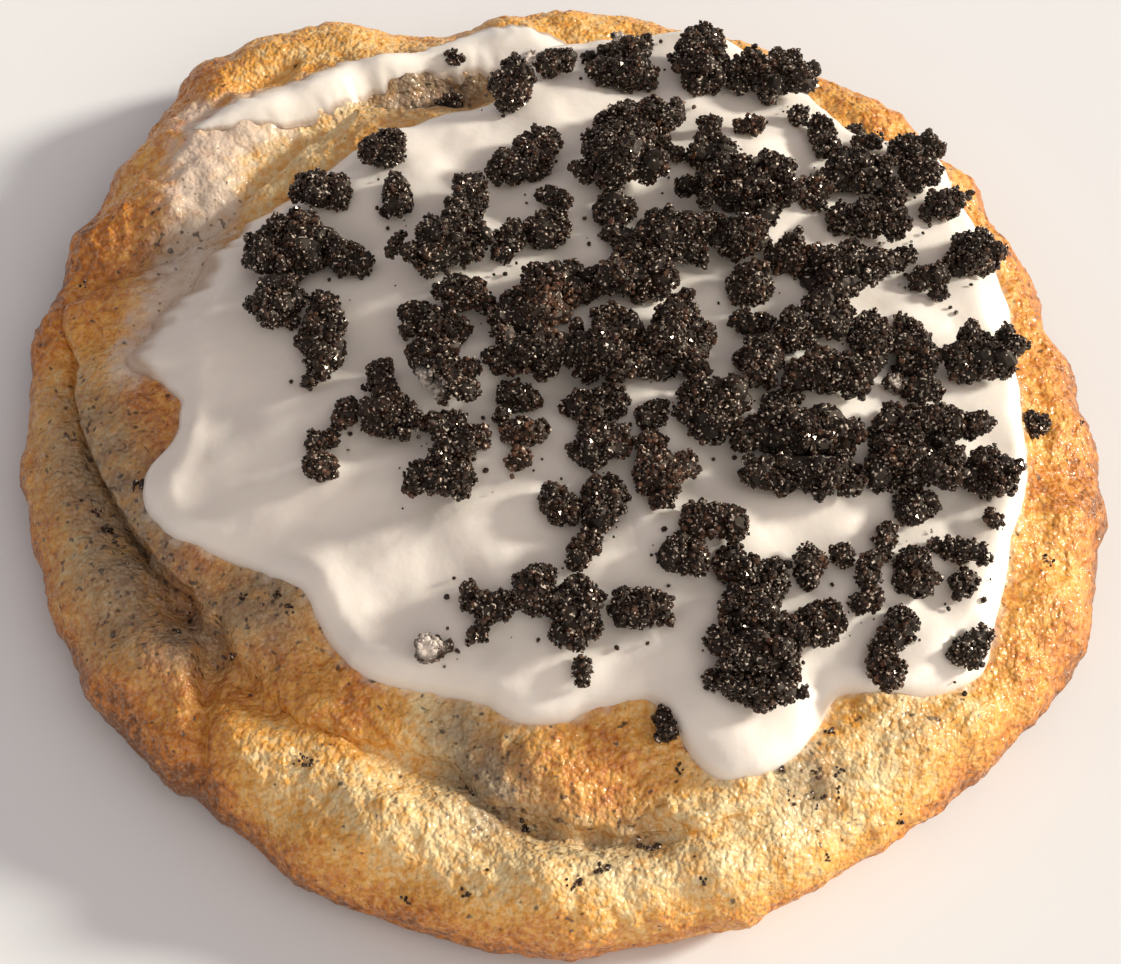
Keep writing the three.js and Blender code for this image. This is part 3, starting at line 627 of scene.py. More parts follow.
class DoughForm:
    """The form of the baked dough, as sections all round the pole."""

    TABLE = 720
    STEP = 0.125
    REACH = 62.0
    COARSE_STEPS = 6
    TABLE_MARGIN = 0.001

    def __init__(self) -> None:
        """Draws the slow waves and works out the table of heights."""
        self.waves = self._draw_waves()
        lines = self.lines(evenly(self.TABLE), self.COARSE_STEPS)
        radii = np.arange(0, self.REACH, self.STEP)
        self.table = np.array([self._top(line, radii) for line in lines])

    @staticmethod
    def _draw_waves() -> list[tuple[Array, float, float]]:
        """Draws the slow waves just as the CAD source does.

        Returns:
            Each wave's way, phase and height.
        """
        seed = WAVE_SEED

        def draw() -> float:
            """Draws the next number.

            Returns:
                A value between 0 and 1.
            """
            nonlocal seed
            seed = seed * DRAW_FACTOR % DRAW_LIMIT
            return seed / DRAW_LIMIT

        waves = []
        for length, height in WAVE_SIZES:
            turn, tilt = 2 * math.pi * draw(), math.radians(2 * WAVE_TILT * draw() - WAVE_TILT)
            k = 2 * math.pi / length
            way = k * np.array([math.cos(turn), math.sin(turn), math.sin(tilt)])
            waves.append((way, 2 * math.pi * draw(), height))
        return waves

    @staticmethod
    def knots(bearing: Array) -> Array:
        """Works out the points that the sections pass through.

        Args:
            bearing: Degrees about the pole, one for each section.

        Returns:
            The points of each section, as radius and height.
        """
        rim, crease, lip, lip_z, crease_z, crest, over = np.moveaxis(
            around(SECTIONS, bearing), -1, 0)
        shoulder, roll, drop = crease - lip, rim - crease, lip_z - crease_z
        line = [(shoulder * share, lip_z + (CENTRE_HEIGHT - lip_z) * (1 - share**DOME_POWER))
                for share in DOME_SHARES]
        line.append((shoulder, lip_z))
        line += [(crease - inwards * lip + outwards * over, lip_z - fall * drop)
                 for inwards, outwards, fall in LIP_KNOTS]
        line += [
            (crease, crease_z),
            (crease + ROLL_RISE[0] * roll, crease_z + ROLL_RISE[1] * (crest - crease_z)),
            (crease + ROLL_CREST * roll, crest),
            (crease + ROLL_FALL[0] * roll,
             crest - ROLL_FALL[1] * (crest - EQUATOR_HEIGHT - ROLL_FALL_EASE)),
            (rim - RIM_EASE, EQUATOR_HEIGHT + RIM_SHARE * crest),
            (rim, np.full_like(rim, EQUATOR_HEIGHT)),
            (rim - TUCK, np.full_like(rim, TUCK_HEIGHT)),
            (rim - FOOT_STEP, np.zeros_like(rim)),
        ]
        return np.stack([np.stack(point, -1) for point in line], -2)

    def lines(self, bearing: Array, steps: int) -> Array:
        """Draws each section as a smooth line through its points.

        Args:
            bearing: Degrees about the pole, one for each section.
            steps: How many points each span between two knots gets.

        Returns:
            The points of each section, as radius and height.
        """
        knots = self.knots(bearing)
        before = knots[:, 1:2] * np.array([-1.0, 1.0])
        after = 2 * knots[:, -1:] - knots[:, -2:-1]
        points = np.concatenate([before, knots, after], axis=1)
        made = []
        for span in range(knots.shape[1] - 1):
            p = [points[:, span + k] for k in range(4)]
            gaps = [np.maximum(np.sqrt(np.linalg.norm(p[k + 1] - p[k], axis=1)), TINY)
                    for k in range(3)]
            t = np.cumsum([np.zeros(len(knots)), *gaps], axis=0)
            for step in range(steps):
                at = t[1] + (t[2] - t[1]) * step / steps

                def blend(a: Array, b: Array, i: int, j: int) -> Array:
                    """Returns the point between a, held at knot i, and b, held at knot j."""
                    share = ((at - t[i]) / (t[j] - t[i]))[:, None]
                    return a + (b - a) * share

                first, second, third = (blend(p[k], p[k + 1], k, k + 1) for k in range(3))
                made.append(blend(blend(first, second, 0, 2), blend(second, third, 1, 3), 1, 2))
        return np.stack([*made, knots[:, -1]], axis=1)

    @staticmethod
    def _top(line: Array, radii: Array) -> Array:
        """Finds the highest point of a section at each radius.

        Args:
            line: The section's points, as radius and height.
            radii: The radii to look at.

        Returns:
            A height for each radius.
        """
        a, b = line[:-1, None], line[1:, None]
        run = b[..., 0] - a[..., 0]
        with np.errstate(divide="ignore", invalid="ignore"):
            share = (radii - a[..., 0]) / run
            z = a[..., 1] + share * (b[..., 1] - a[..., 1])
        held = (share >= 0) & (share <= 1) & (run != 0)
        return np.where(held, z, 0).max(axis=0)

    def smooth_height(self, x: Array, y: Array) -> Array:
        """Reads the height of the dough's top before its relief.

        Args:
            x: Millimetres from the pole.
            y: Millimetres from the pole.

        Returns:
            A height for each place.
        """
        bearing = (np.degrees(np.arctan2(y, x)) % FULL_TURN) * self.TABLE / FULL_TURN
        last = self.table.shape[1] - 1 - self.TABLE_MARGIN
        radius = np.minimum(np.hypot(x, y) / self.STEP, last)
        i, j = np.floor(bearing).astype(int), np.floor(radius).astype(int)
        s, t = bearing - i, radius - j
        i, k = i % self.TABLE, (i + 1) % self.TABLE
        near = self.table[i, j] * (1 - t) + self.table[i, j + 1] * t
        far = self.table[k, j] * (1 - t) + self.table[k, j + 1] * t
        return near * (1 - s) + far * s

    def relief(self, points: Array) -> Array:
        """Returns how far the slow waves stand out at each point."""
        return sum(height * np.sin(points @ way + phase) for way, phase, height in self.waves)

    @staticmethod
    def furrows(x: Array, y: Array) -> Array:
        """Returns how far the furrows cut in at each place, below zero."""
        return sum(furrow.at(x, y) for furrow in FURROWS)

    def top(self, x: Array, y: Array) -> Array:
        """Returns the height of the dough's top at each place."""
        z = self.smooth_height(x, y)
        return z + self.relief(np.stack([x, y, z], -1)) + self.furrows(x, y)


class IcingForm:
    """The form of the icing: a patch over the dome, and a streak in the trough behind it."""

    SEED = 11
    EDGE_RADIUS = 40
    RAGGED = ((4.5, 0.35), (1.7, 0.16))
    FEATHERS = ((2.6, 1.3), (1.1, 0.8))
    SWELL = ((8.5, 0.26), (4.2, 0.16), (1.9, 0.07))
    FEATHER_EDGE = (0.12, 0.38)
    SWELL_FROM = 0.2
    SWELL_FULL = (0.9, 0.6)
    FILM_EDGE = (0.25, 0.7)
    FILM_PATCHES = ((1.6, 0.3),)
    FILM_STEP = (0.3, 0.95)

    def __init__(self, dough: DoughForm) -> None:
        """Keeps the dough that it lies on.

        Args:
            dough: The dough's form.
        """
        self.dough = dough
        self.noise = Noise(self.SEED)

    def reach(self, bearing: Array) -> Array:
        """Works out how far the patch reaches from its middle.

        Args:
            bearing: Degrees about the icing's middle.

        Returns:
            Millimetres for each bearing.
        """
        edge = circle(bearing, self.EDGE_RADIUS)
        ragged = self.noise.layers(edge, self.RAGGED)
        ragged += self.feathered(bearing) * self.noise.layers(edge, self.FEATHERS)
        return around(ICING_REACH, bearing)[..., 0] + ragged

    def feathered(self, bearing: Array) -> Array:
        """Returns how far the patch's edge thins out to nothing at each bearing, from 0 to 1."""
        return 1 - smoothstep(around(ICING_EDGE, bearing)[..., 1], *self.FEATHER_EDGE)

    @staticmethod
    def polar(x: Array, y: Array) -> tuple[Array, Array]:
        """Returns the bearing in degrees and the radius of places about the icing's middle."""
        east, north = x - ICING_CENTRE[0], y - ICING_CENTRE[1]
        return np.degrees(np.arctan2(north, east)) % FULL_TURN, np.hypot(east, north)

    def inside(self, x: Array, y: Array) -> Array:
        """Returns how far inside the patch's edge each place lies, below zero outside it."""
        bearing, radius = self.polar(x, y)
        return self.reach(bearing) - radius

    def thickness(self, x: Array, y: Array, inside: Array) -> Array:
        """Works out how thick the patch is.

        Args:
            x: Millimetres from the pole.
            y: Millimetres from the pole.
            inside: How far inside the patch's edge each place lies.

        Returns:
            Millimetres for each place.
        """
        bearing, _ = self.polar(x, y)
        width, edge = np.moveaxis(around(ICING_EDGE, bearing), -1, 0)
        full = ICING_THICKNESS + DRIP.at(x, y)
        t = np.clip(inside / width, 0, 1)
        made = edge + (full - edge) * np.sqrt(1 - (1 - t) ** 2)
        swell = self.noise.layers(on_floor(x, y), self.SWELL)
        swell += sum(ridge.at(x, y) for ridge in ICING_RIDGES)
        share, more = self.SWELL_FULL
        return made + smoothstep(inside, self.SWELL_FROM, width * share + more) * swell

    def film(self, x: Array, y: Array, inside: Array) -> Array:
        """Works out how far the patch has thinned to a film.

        Args:
            x: Millimetres from the pole.
            y: Millimetres from the pole.
            inside: How far inside the patch's edge each place lies.

        Returns:
            A value from 0 to 1 for each place.
        """
        bearing, _ = self.polar(x, y)
        width = around(ICING_EDGE, bearing)[..., 0]
        feathered = self.feathered(bearing)
        least, share = self.FILM_EDGE
        film = feathered * (1 - smoothstep(inside, 0.0, least + share * width * feathered))
        patches = self.noise.layers(on_floor(x, y), self.FILM_PATCHES)
        return smoothstep(film + patches * (film > 0), *self.FILM_STEP)

    def top(self, x: Array, y: Array) -> Array:
        """Works out the height of the icing's top, or of the dough beyond it.

        Args:
            x: Millimetres from the pole.
            y: Millimetres from the pole.

        Returns:
            A height for each place.
        """
        inside = self.inside(x, y)
        base = self.dough.top(x, y)
        iced = base + ICING_GAP + self.thickness(x, y, inside)
        return np.where(inside > 0, iced, base)


# ------------------------------------------------------------------ finishes

Colour = tuple[float, float, float, float]
Socket = bpy.types.NodeSocket


@dataclass(frozen=True)
class Grain:
    """One use of the shared grain.

    Args:
        length: Millimetres across a lump.
        detail: How many finer layers it has.
        offset: Where in the noise it is read, in metres.
    """

    length: float
    detail: float = 1.0
    offset: float = 0.0


class Shader:
    """Short calls for making the nodes of one material or group."""

    def __init__(self, tree: bpy.types.NodeTree) -> None:
        """Keeps the tree.

        Args:
            tree: The node tree to fill.
        """
        self.tree = tree

    def node(self, kind: str, **settings: object) -> bpy.types.Node:
        """Makes a node.

        Args:
            kind: The node's type.
            settings: Its settings by name.

        Returns:
            The node.
        """
        made = self.tree.nodes.new(kind)
        for name, value in settings.items():
            setattr(made, name, value)
        return made

    def wire(self, value: object, socket: Socket) -> None:
        """Links a socket to another, or sets its value.

        Args:
            value: The socket or the value that feeds it.
            socket: The socket that is fed.
        """
        if isinstance(value, Socket):
            self.tree.links.new(value, socket)
        else:
            socket.default_value = value

    def math(self, kind: str, *values: object, clamp: bool = False) -> Socket:
        """Makes a math node.

        Args:
            kind: The operation.
            values: The sockets or values that it works on.
            clamp: Whether the result is kept between 0 and 1.

        Returns:
            The result.
        """
        made = self.node("ShaderNodeMath", operation=kind, use_clamp=clamp)
        for value, socket in zip(values, made.inputs):
            self.wire(value, socket)
        return made.outputs[0]

    def times(self, value: object, factor: object) -> Socket:
        """Returns the product of two values."""
        return self.math("MULTIPLY", value, factor)

    def mix(self, share: object, a: object, b: object) -> Socket:
        """Mixes two colours.

        Args:
            share: How much of the second is taken.
            a: The first colour.
            b: The second colour.

        Returns:
            The mixed colour.
        """
        made = self.node("ShaderNodeMix", data_type="RGBA", blend_type="MIX")
        for value, place in ((share, 0), (a, 6), (b, 7)):
            self.wire(value, made.inputs[place])
        return made.outputs[2]

    def attribute(self, name: str) -> Socket:
        """Returns the value that the mesh holds under a name."""
        return self.node("ShaderNodeAttribute", attribute_name=name).outputs["Fac"]

    def step(self, value: object, low: float, high: float) -> Socket:
        """Makes a smooth step.

        Args:
            value: The value to judge.
            low: Where the step starts.
            high: Where it ends.

        Returns:
            0 below low, 1 above high and a smooth rise between.
        """
        made = self.node("ShaderNodeMapRange", interpolation_type="SMOOTHSTEP")
        for fed, name in ((value, "Value"), (low, "From Min"), (high, "From Max")):
            self.wire(fed, made.inputs[name])
        return made.outputs[0]

    def ramp(self, value: object, *stops: tuple[float, Colour]) -> Socket:
        """Makes a colour ramp.

        Args:
            value: Where on the ramp the colour is read.
            stops: The ramp's stops, as place and colour.

        Returns:
            The colour.
        """
        made = self.node("ShaderNodeValToRGB")
        ramp = made.color_ramp
        for place, _ in stops[2:]:
            ramp.elements.new(place)
        for element, (place, colour) in zip(ramp.elements, stops):
            element.position = place
            element.color = colour
        self.wire(value, made.inputs[0])
        return made.outputs[0]

    def pebbles(self, length: float) -> Socket:
        """Makes a height of close small domes.

        Args:
            length: Millimetres across a dome.

        Returns:
            The height, from 0 to 1.
        """
        place = self.node("ShaderNodeTexCoord").outputs["Object"]
        cells = self.node("ShaderNodeTexVoronoi")
        self.wire(place, cells.inputs["Vector"])
        cells.inputs["Scale"].default_value = 1.0 / MM / length
        away = cells.outputs["Distance"]
        return self.math("SUBTRACT", 1.0, self.times(away, away), clamp=True)

    def bumped(self, height: object, distance: float, strength: float) -> Socket:
        """Makes the normal of a bumped surface.

        Args:
            height: The bump's height, from 0 to 1.
            distance: Metres that a height of 1 stands for.
            strength: How much of the bump shows.

        Returns:
            The normal.
        """
        bump = self.node("ShaderNodeBump")
        bump.inputs["Strength"].default_value = strength
        bump.inputs["Distance"].default_value = distance
        self.wire(height, bump.inputs["Height"])
        return bump.outputs[0]

    def grain(self, grain: Grain) -> Socket:
        """Makes the shared grain, with values of its own.

        Args:
            grain: Its values.

        Returns:
            The noise, from 0 to 1.
        """
        made = self.node("ShaderNodeGroup", node_tree=grain_group())
        made.inputs["Length"].default_value = grain.length
        made.inputs["Detail"].default_value = grain.detail
        made.inputs["Offset"].default_value = grain.offset
        return made.outputs["Value"]


def grain_group() -> bpy.types.NodeTree:
    """Makes the shader group that the finishes share, once: noise sized in millimetres.

    Returns:
        The group, with the inputs Length, Detail and Offset and the output Value.
    """
    held = bpy.data.node_groups.get("grain")
    if held:
        return held
    group = bpy.data.node_groups.new("grain", "ShaderNodeTree")
    for name in ("Length", "Detail", "Offset"):
        group.interface.new_socket(name, in_out="INPUT", socket_type="NodeSocketFloat")
    group.interface.new_socket("Value", in_out="OUTPUT", socket_type="NodeSocketFloat")
    shader = Shader(group)
    source = shader.node("NodeGroupInput")
    sink = shader.node("NodeGroupOutput")
    place = shader.node("ShaderNodeTexCoord").outputs["Object"]
    moved = shader.node("ShaderNodeVectorMath", operation="ADD")
    shader.wire(place, moved.inputs[0])
    shader.wire(source.outputs["Offset"], moved.inputs[1])
    noise = shader.node("ShaderNodeTexNoise")
    shader.wire(moved.outputs[0], noise.inputs["Vector"])
    scale = shader.math("DIVIDE", 1.0 / MM, source.outputs["Length"])
    shader.wire(scale, noise.inputs["Scale"])
    shader.wire(source.outputs["Detail"], noise.inputs["Detail"])
    shader.wire(noise.outputs[0], sink.inputs["Value"])
    return group


def srgb(code: str) -> Colour:
    """Returns the linear colour of a hex code such as 'c08040'."""
    parts = [int(code[k:k + 2], 16) / 255 for k in (0, 2, 4)]
    return (*[p / 12.92 if p <= 0.04045 else ((p + 0.055) / 1.055) ** 2.4 for p in parts], 1.0)


def new_material(name: str, **fixed: object) -> tuple[bpy.types.Material, Shader, bpy.types.Node]:
    """Makes a material.

    Args:
        name: Its name.
        fixed: The main shader's values that are the same all over, with _ for a space.

    Returns:
        The material, the calls that fill it and its main shader node.
    """
    made = bpy.data.materials.new(name)
    made.use_nodes = True
    body = made.node_tree.nodes["Principled BSDF"]
    for key, value in fixed.items():
        body.inputs[key.replace("_", " ")].default_value = value
    return made, Shader(made.node_tree), body


@dataclass(frozen=True)
class DoughFinish:
    """Baked dough: cream, golden and brown, with grey stains, painted light and shade, a soaked
    veil and painted glints.
    """

    pale: str = "f0d9a4"
    golden: str = "e8ab4c"
    brown: str = "c6761a"
    dark: str = "824a10"
    stain_and_shade: str = "776c60"
    fleck: str = "2e241d"
    soaked: str = "dad0c6"
    painted_sparkle: str = "fdf2dc"
    golden_at: float = 0.4
    brown_at: float = 0.72
    mottling: Grain = Grain(0.8, offset=3.0)
    mottling_depth: float = 0.85
    stain_and_shade_share: float = 0.88
    soaked_share: float = 0.8
    flecks: Grain = Grain(0.8, offset=9.0)
    flecks_in_stain_and_shade: float = 0.1
    fleck_step: tuple[float, float] = (0.68, 0.78)
    fleck_share: float = 0.8
    # Where the painted glints fall: pale specks that stand in for highlights.
    painted_glint_grain: Grain = Grain(0.35, offset=2.0)
    painted_glint_step: tuple[float, float] = (0.48, 0.6)
    painted_glint_share: float = 0.1
    roughness: float = 0.46
    glint_gloss: float = 0.28
    soaked_gloss: float = 0.05
    specular: float = 0.6
    crust: Grain = Grain(0.7, offset=6.0)
    pebble_length: float = 0.45
    pebble_share: float = 0.3
    soaked_smoothing: float = 0.55
    bump_distance: float = 0.00045
    bump_strength: float = 0.9

    def build(self) -> bpy.types.Material:
        """Makes the material.

        Returns:
            The material.
        """
        made, s, body = new_material("baked_dough", Specular_IOR_Level=self.specular)
        bake_and_painted_light, stain_and_shade, soak = (s.attribute(name) for name in ("bake_and_painted_light", "stain_and_shade", "soak"))
        mottling = s.math("SUBTRACT", s.grain(self.mottling), 0.5)
        bake_and_painted_light = s.math("ADD", bake_and_painted_light, s.times(mottling, self.mottling_depth))
        # The ramp runs from pale to dark; the pale spots in the mask include painted light on the
        # front rim.
        colour = s.ramp(bake_and_painted_light, (0.0, srgb(self.pale)), (self.golden_at, srgb(self.golden)),
                        (self.brown_at, srgb(self.brown)), (1.0, srgb(self.dark)))
        # Grey stains, and painted shade where the same grey darkens shaded hollows.
        colour = s.mix(s.times(stain_and_shade, self.stain_and_shade_share), colour, srgb(self.stain_and_shade))
        colour = s.mix(s.times(soak, self.soaked_share), colour, srgb(self.soaked))
        flecks = s.math("ADD", s.grain(self.flecks), s.times(stain_and_shade, self.flecks_in_stain_and_shade))
        flecks = s.times(s.step(flecks, *self.fleck_step), self.fleck_share)
        colour = s.mix(flecks, colour, srgb(self.fleck))
        # Painted glints: at these spots a pale colour is mixed in as highlights, and the roughness
        # drops.
        painted_glint = s.step(s.grain(self.painted_glint_grain), *self.painted_glint_step)
        colour = s.mix(s.times(painted_glint, self.painted_glint_share), colour, srgb(self.painted_sparkle))
        s.wire(colour, body.inputs["Base Color"])
        rough = s.math("SUBTRACT", self.roughness, s.times(painted_glint, self.glint_gloss))
        rough = s.math("SUBTRACT", rough, s.times(soak, self.soaked_gloss))
        s.wire(rough, body.inputs["Roughness"])
        crust = s.grain(self.crust)
        pebbles = s.times(s.pebbles(self.pebble_length), self.pebble_share)
        crust = s.math("ADD", crust, pebbles)
        kept = s.math("SUBTRACT", 1.0, s.times(soak, self.soaked_smoothing))
        normal = s.bumped(s.times(crust, kept), self.bump_distance, self.bump_strength)
        s.wire(normal, body.inputs["Normal"])
        return made


@dataclass(frozen=True)
class IcingFinish:
    """White icing, soft and a little see-through where it thins out to a film."""

    white: str = "f6f1ea"
    film: str = "b49c86"
    film_share: float = 0.85
    roughness: float = 0.34
    glow: float = 0.32
    glow_radius: tuple[float, float, float] = (1.0, 0.8, 0.62)
    glow_scale: float = 0.0025
    skin: Grain = Grain(0.9)
    film_roughening: float = 3.0
    bump_distance: float = 0.00012
    bump_strength: float = 0.35

    def build(self) -> bpy.types.Material:
        """Makes the material.

        Returns:
            The material.
        """
        made, s, body = new_material(
            "white_icing", Roughness=self.roughness, Subsurface_Weight=self.glow,
            Subsurface_Radius=self.glow_radius, Subsurface_Scale=self.glow_scale)
        film = s.attribute("film")
        colour = s.mix(s.times(film, self.film_share), srgb(self.white), srgb(self.film))
        s.wire(colour, body.inputs["Base Color"])
        skin = s.grain(self.skin)
        height = s.times(skin, s.math("ADD", 1.0, s.times(film, self.film_roughening)))
        normal = s.bumped(height, self.bump_distance, self.bump_strength)
        s.wire(normal, body.inputs["Normal"])
        return made


@dataclass(frozen=True)
class CrumbFinish:
    """Chocolate cookie crumb: nearly black brown, glossy where wet, with painted glints."""

    dark: str = "120a06"
    middle: str = "301f16"
    brown: str = "684836"
    painted_glint: str = "e6d9cb"
    iced: str = "dad2ca"
    middle_at: float = 0.6
    painted_glint_grain: Grain = Grain(0.3, 0.0, 11.0)
    painted_glint_step: tuple[float, float] = (0.68, 0.75)
    painted_glint_share: float = 0.75
    roughness: float = 0.62
    wet_gloss: float = 0.44
    specular: float = 0.55
    specular_tint: Colour = (1.0, 0.9, 0.8, 1.0)

    def build(self) -> bpy.types.Material:
        """Makes the material.

        Returns:
            The material.
        """
        made, s, body = new_material("chocolate_crumb", Specular_IOR_Level=self.specular,
                                     Specular_Tint=self.specular_tint)
        colour = s.ramp(s.attribute("tone"), (0.0, srgb(self.dark)),
                        (self.middle_at, srgb(self.middle)), (1.0, srgb(self.brown)))
        # Painted glints: pale specks mixed into the colour as highlights.
        painted_glint = s.step(s.grain(self.painted_glint_grain), *self.painted_glint_step)
        colour = s.mix(s.times(painted_glint, self.painted_glint_share), colour, srgb(self.painted_glint))
        colour = s.mix(s.attribute("iced"), colour, srgb(self.iced))
        s.wire(colour, body.inputs["Base Color"])
        gloss = s.times(s.attribute("wet"), self.wet_gloss)
        s.wire(s.math("SUBTRACT", self.roughness, gloss), body.inputs["Roughness"])
        return made


# ------------------------------------------------------------------ pieces


@dataclass
class Dough:
    """The baked dough, from its flat foot to the dome under the icing."""

    form: DoughForm
    icing: IcingForm
    bearings: int = 700
    dome_rings: int = 8
    open_rings: int = 124
    open_from: float = 31.0
    dome_from: float = 0.4
    steps: int = 24
    foot_rings: tuple[float, ...] = (0.97, 0.5)

    LIP_SEED, CRUST_SEED, MASK_SEED = 17, 5, 8
    # The torn lip: a bead and an undercut, each with its height, place past the lip and width.
    LIP_SPANS = 6
    LIP_BACK = 0.4
    TORN_OVERHANG = 0.7
    RAGGED_RADIUS = 45
    RAGGED = ((2.2, 0.5),)
    BEAD = (0.45, 0.0, 0.55)
    UNDERCUT = (0.75, 1.5, 0.85)
    # The crust: layers of crags, wrinkles round the rim, cracks between large cells, pebbles.
    CRAGS = ((4.6, 0.28), (2.4, 0.24), (1.25, 0.24))
    WRINKLE_RADIUS, WRINKLE_LENGTH, WRINKLE_WIDTH, WRINKLE_HEIGHT = 50, 5.5, 1.5, 0.14
    WRINKLE_ZONE = (40, 46)
    WARP = ((1.1, 0.5),)
    CRACK_CELL, CRACK_DEPTH, CRACK_STEP = 3.4, 0.25, (0.04, 0.2)
    PEBBLE_CELL, PEBBLE_HEIGHT, PEBBLE_LEVEL = 1.15, 0.28, 0.5
    SIDE_SHARE = 0.35
    UNDER_ICING = (0.3, 2.0)
    FOOT_FADE = 0.6
    # How far the dough is baked: a base value, what the low rim, the outer rim, the baked spots
    # and the foot add, and what the pale spots take away, some of them painted light on the front
    # rim.
    BAKE, BAKE_LOW, BAKE_OUTER, BAKE_SPOT, PALE_SPOT, BAKE_FOOT = 0.35, 0.42, 0.18, 0.5, 0.31, 0.5
    BAKE_LAYERS = ((7.0, 0.12), (2.8, 0.14), (1.4, 0.1))
    LOW_ZONE, OUTER_ZONE, FOOT_ZONE = (2.0, 8.5), (0.93, 1.0), (0.1, 1.6)
    # The patchiness of the grey stains and their painted shade.
    STAIN, STAIN_LAYERS, STAIN_LEAST = 0.95, ((1.9, 0.4), (0.9, 0.25)), 0.2
    # The soaked veil beside the icing: its strength and width in millimetres.
    SOAKED_EDGE, SOAKED_WIDTH = 0.55, 1.0
    SOAKED_LAYERS, SOAKED_STEP = ((1.2, 0.3),), (0.3, 0.95)

    BAKED = spots(
        (-48.5, 16.8, 7, 0.7), (-45.7, 24.0, 7, 0.6), (-40.1, 38.7, 8, 0.55),
        (-38.5, -3.5, 4, 0.7), (-39.8, 0.8, 4, 0.6), (-35.9, -19.6, 5, 0.5),
        (-19.0, -33.5, 4, 0.5), (0.0, -41.1, 5, 0.45), (-21.2, -33.7, 6, 0.5),
        (5.4, -40.4, 4, 0.5), (-28.8, -31.4, 5, 0.5), (-40.2, -31.8, 6, 0.7),
        (-34.3, -40.0, 6, 0.7), (51.0, 2.0, 7, 0.6), (50.0, -9.0, 7, 0.65), (49.0, 14.0, 7, 0.6),
        (44.0, 27.0, 7, 0.5), (44.0, -24.0, 7, 0.45), (35.0, 40.0, 6, 0.4),
    )
    # Pale patches, and painted light: the spots on the front-right rim, from about (5, -51) to (31,
    # -38), lighten dough that the low key leaves in shade.
    PALE = spots(
        (-27.5, -37.1, 4, 0.9), (-23.8, -39.5, 4, 0.9), (-18.3, -41.0, 4, 0.9),
        (-11.0, -43.5, 4, 0.8), (-8.2, -45.5, 4, 0.8), (-3.7, -47.5, 4, 0.8),
        (3.6, -48.9, 4, 0.7), (12.6, -47.5, 5, 0.6), (20.0, -44.5, 6, 0.6),
        (-26.8, 33.8, 4, 0.8), (-21.8, 37.7, 4, 0.8), (-30.4, 28.1, 3, 0.7),
        (30.0, -38.5, 6, 0.5), (-28.0, 31.5, 3.5, 0.6), (-24.0, 34.5, 3.0, 0.6),
        (-12.8, -34.3, 3.5, 0.9), (-9.6, -36.3, 2.5, 0.8), (12.6, -49.6, 6.0, 0.8),
        (21.8, -47.0, 6.0, 0.7), (5.4, -51.2, 5.0, 0.7), (31.0, -43.0, 5.0, 0.6),
    )
    # Grey stains, partly painted shade: they also darken the shaded pocket behind the top-left lip,
    # the crease along the left lobe and the front furrow's valley.
    STAINED = spots(
        (-27.1, -23.7, 4.5, 0.9), (-39.0, -15.6, 4.5, 0.8), (-33.8, -23.8, 3.5, 0.7),
        (-6.4, -41.0, 4, 0.6), (-37.0, 17.4, 5, 0.6), (7.2, -46.1, 3.0, 0.7),
        (21.8, -41.3, 2.6, 0.6), (23.7, -39.5, 2.4, 0.6), (32.2, -34.4, 3, 0.4),
        (-43.4, -8.3, 5, 0.8), (-46.2, -1.4, 5, 0.6), (-40.7, -20.2, 5, 0.8),
        (-48.5, 3.5, 4, 0.5), (-13.6, 42.5, 4.5, 0.9), (-18.0, 41.0, 4, 0.8),
        (-36.5, 23.0, 4, 0.5), (-42.0, -12.0, 5, 0.9), (-13.6, 42.0, 4, 0.9),
        (-7.5, -39.5, 3.0, 0.9), (-5.5, -43.0, 3.0, 0.8), (-29.0, -20.5, 4.0, 0.7),
        (-36.0, -25.5, 4.0, 0.8), (-45.5, -5.0, 5.0, 0.8), (-39.0, 20.0, 4.0, 0.6),
        (-42.5, -17.0, 4.5, 0.7), (-38.5, -23.0, 4.5, 0.6), (-10.5, 42.6, 4.0, 0.9),
        (-9.5, -35.5, 3.0, 0.8), (-1.5, -45.0, 2.5, 0.7), (3.0, -46.0, 2.5, 0.6),
        (-15.0, 40.8, 3.5, 0.9),
    )
    SOAKED = spots(
        (-36.8, 31.2, 5, 0.95), (-35.6, 26.5, 4.5, 0.95), (-37.1, 18.8, 5, 0.9),
        (-38.7, 13.2, 4.5, 0.85), (-40.3, 8.0, 4.5, 0.8), (-42.1, 4.4, 3.5, 0.7),
        (-33.3, 35.5, 3.8, 0.9),
        (-24.0, 40.5, 4, 0.8), (-30.0, 38.0, 4.5, 0.9), (-37.5, 38.5, 3.5, 0.8),
    )

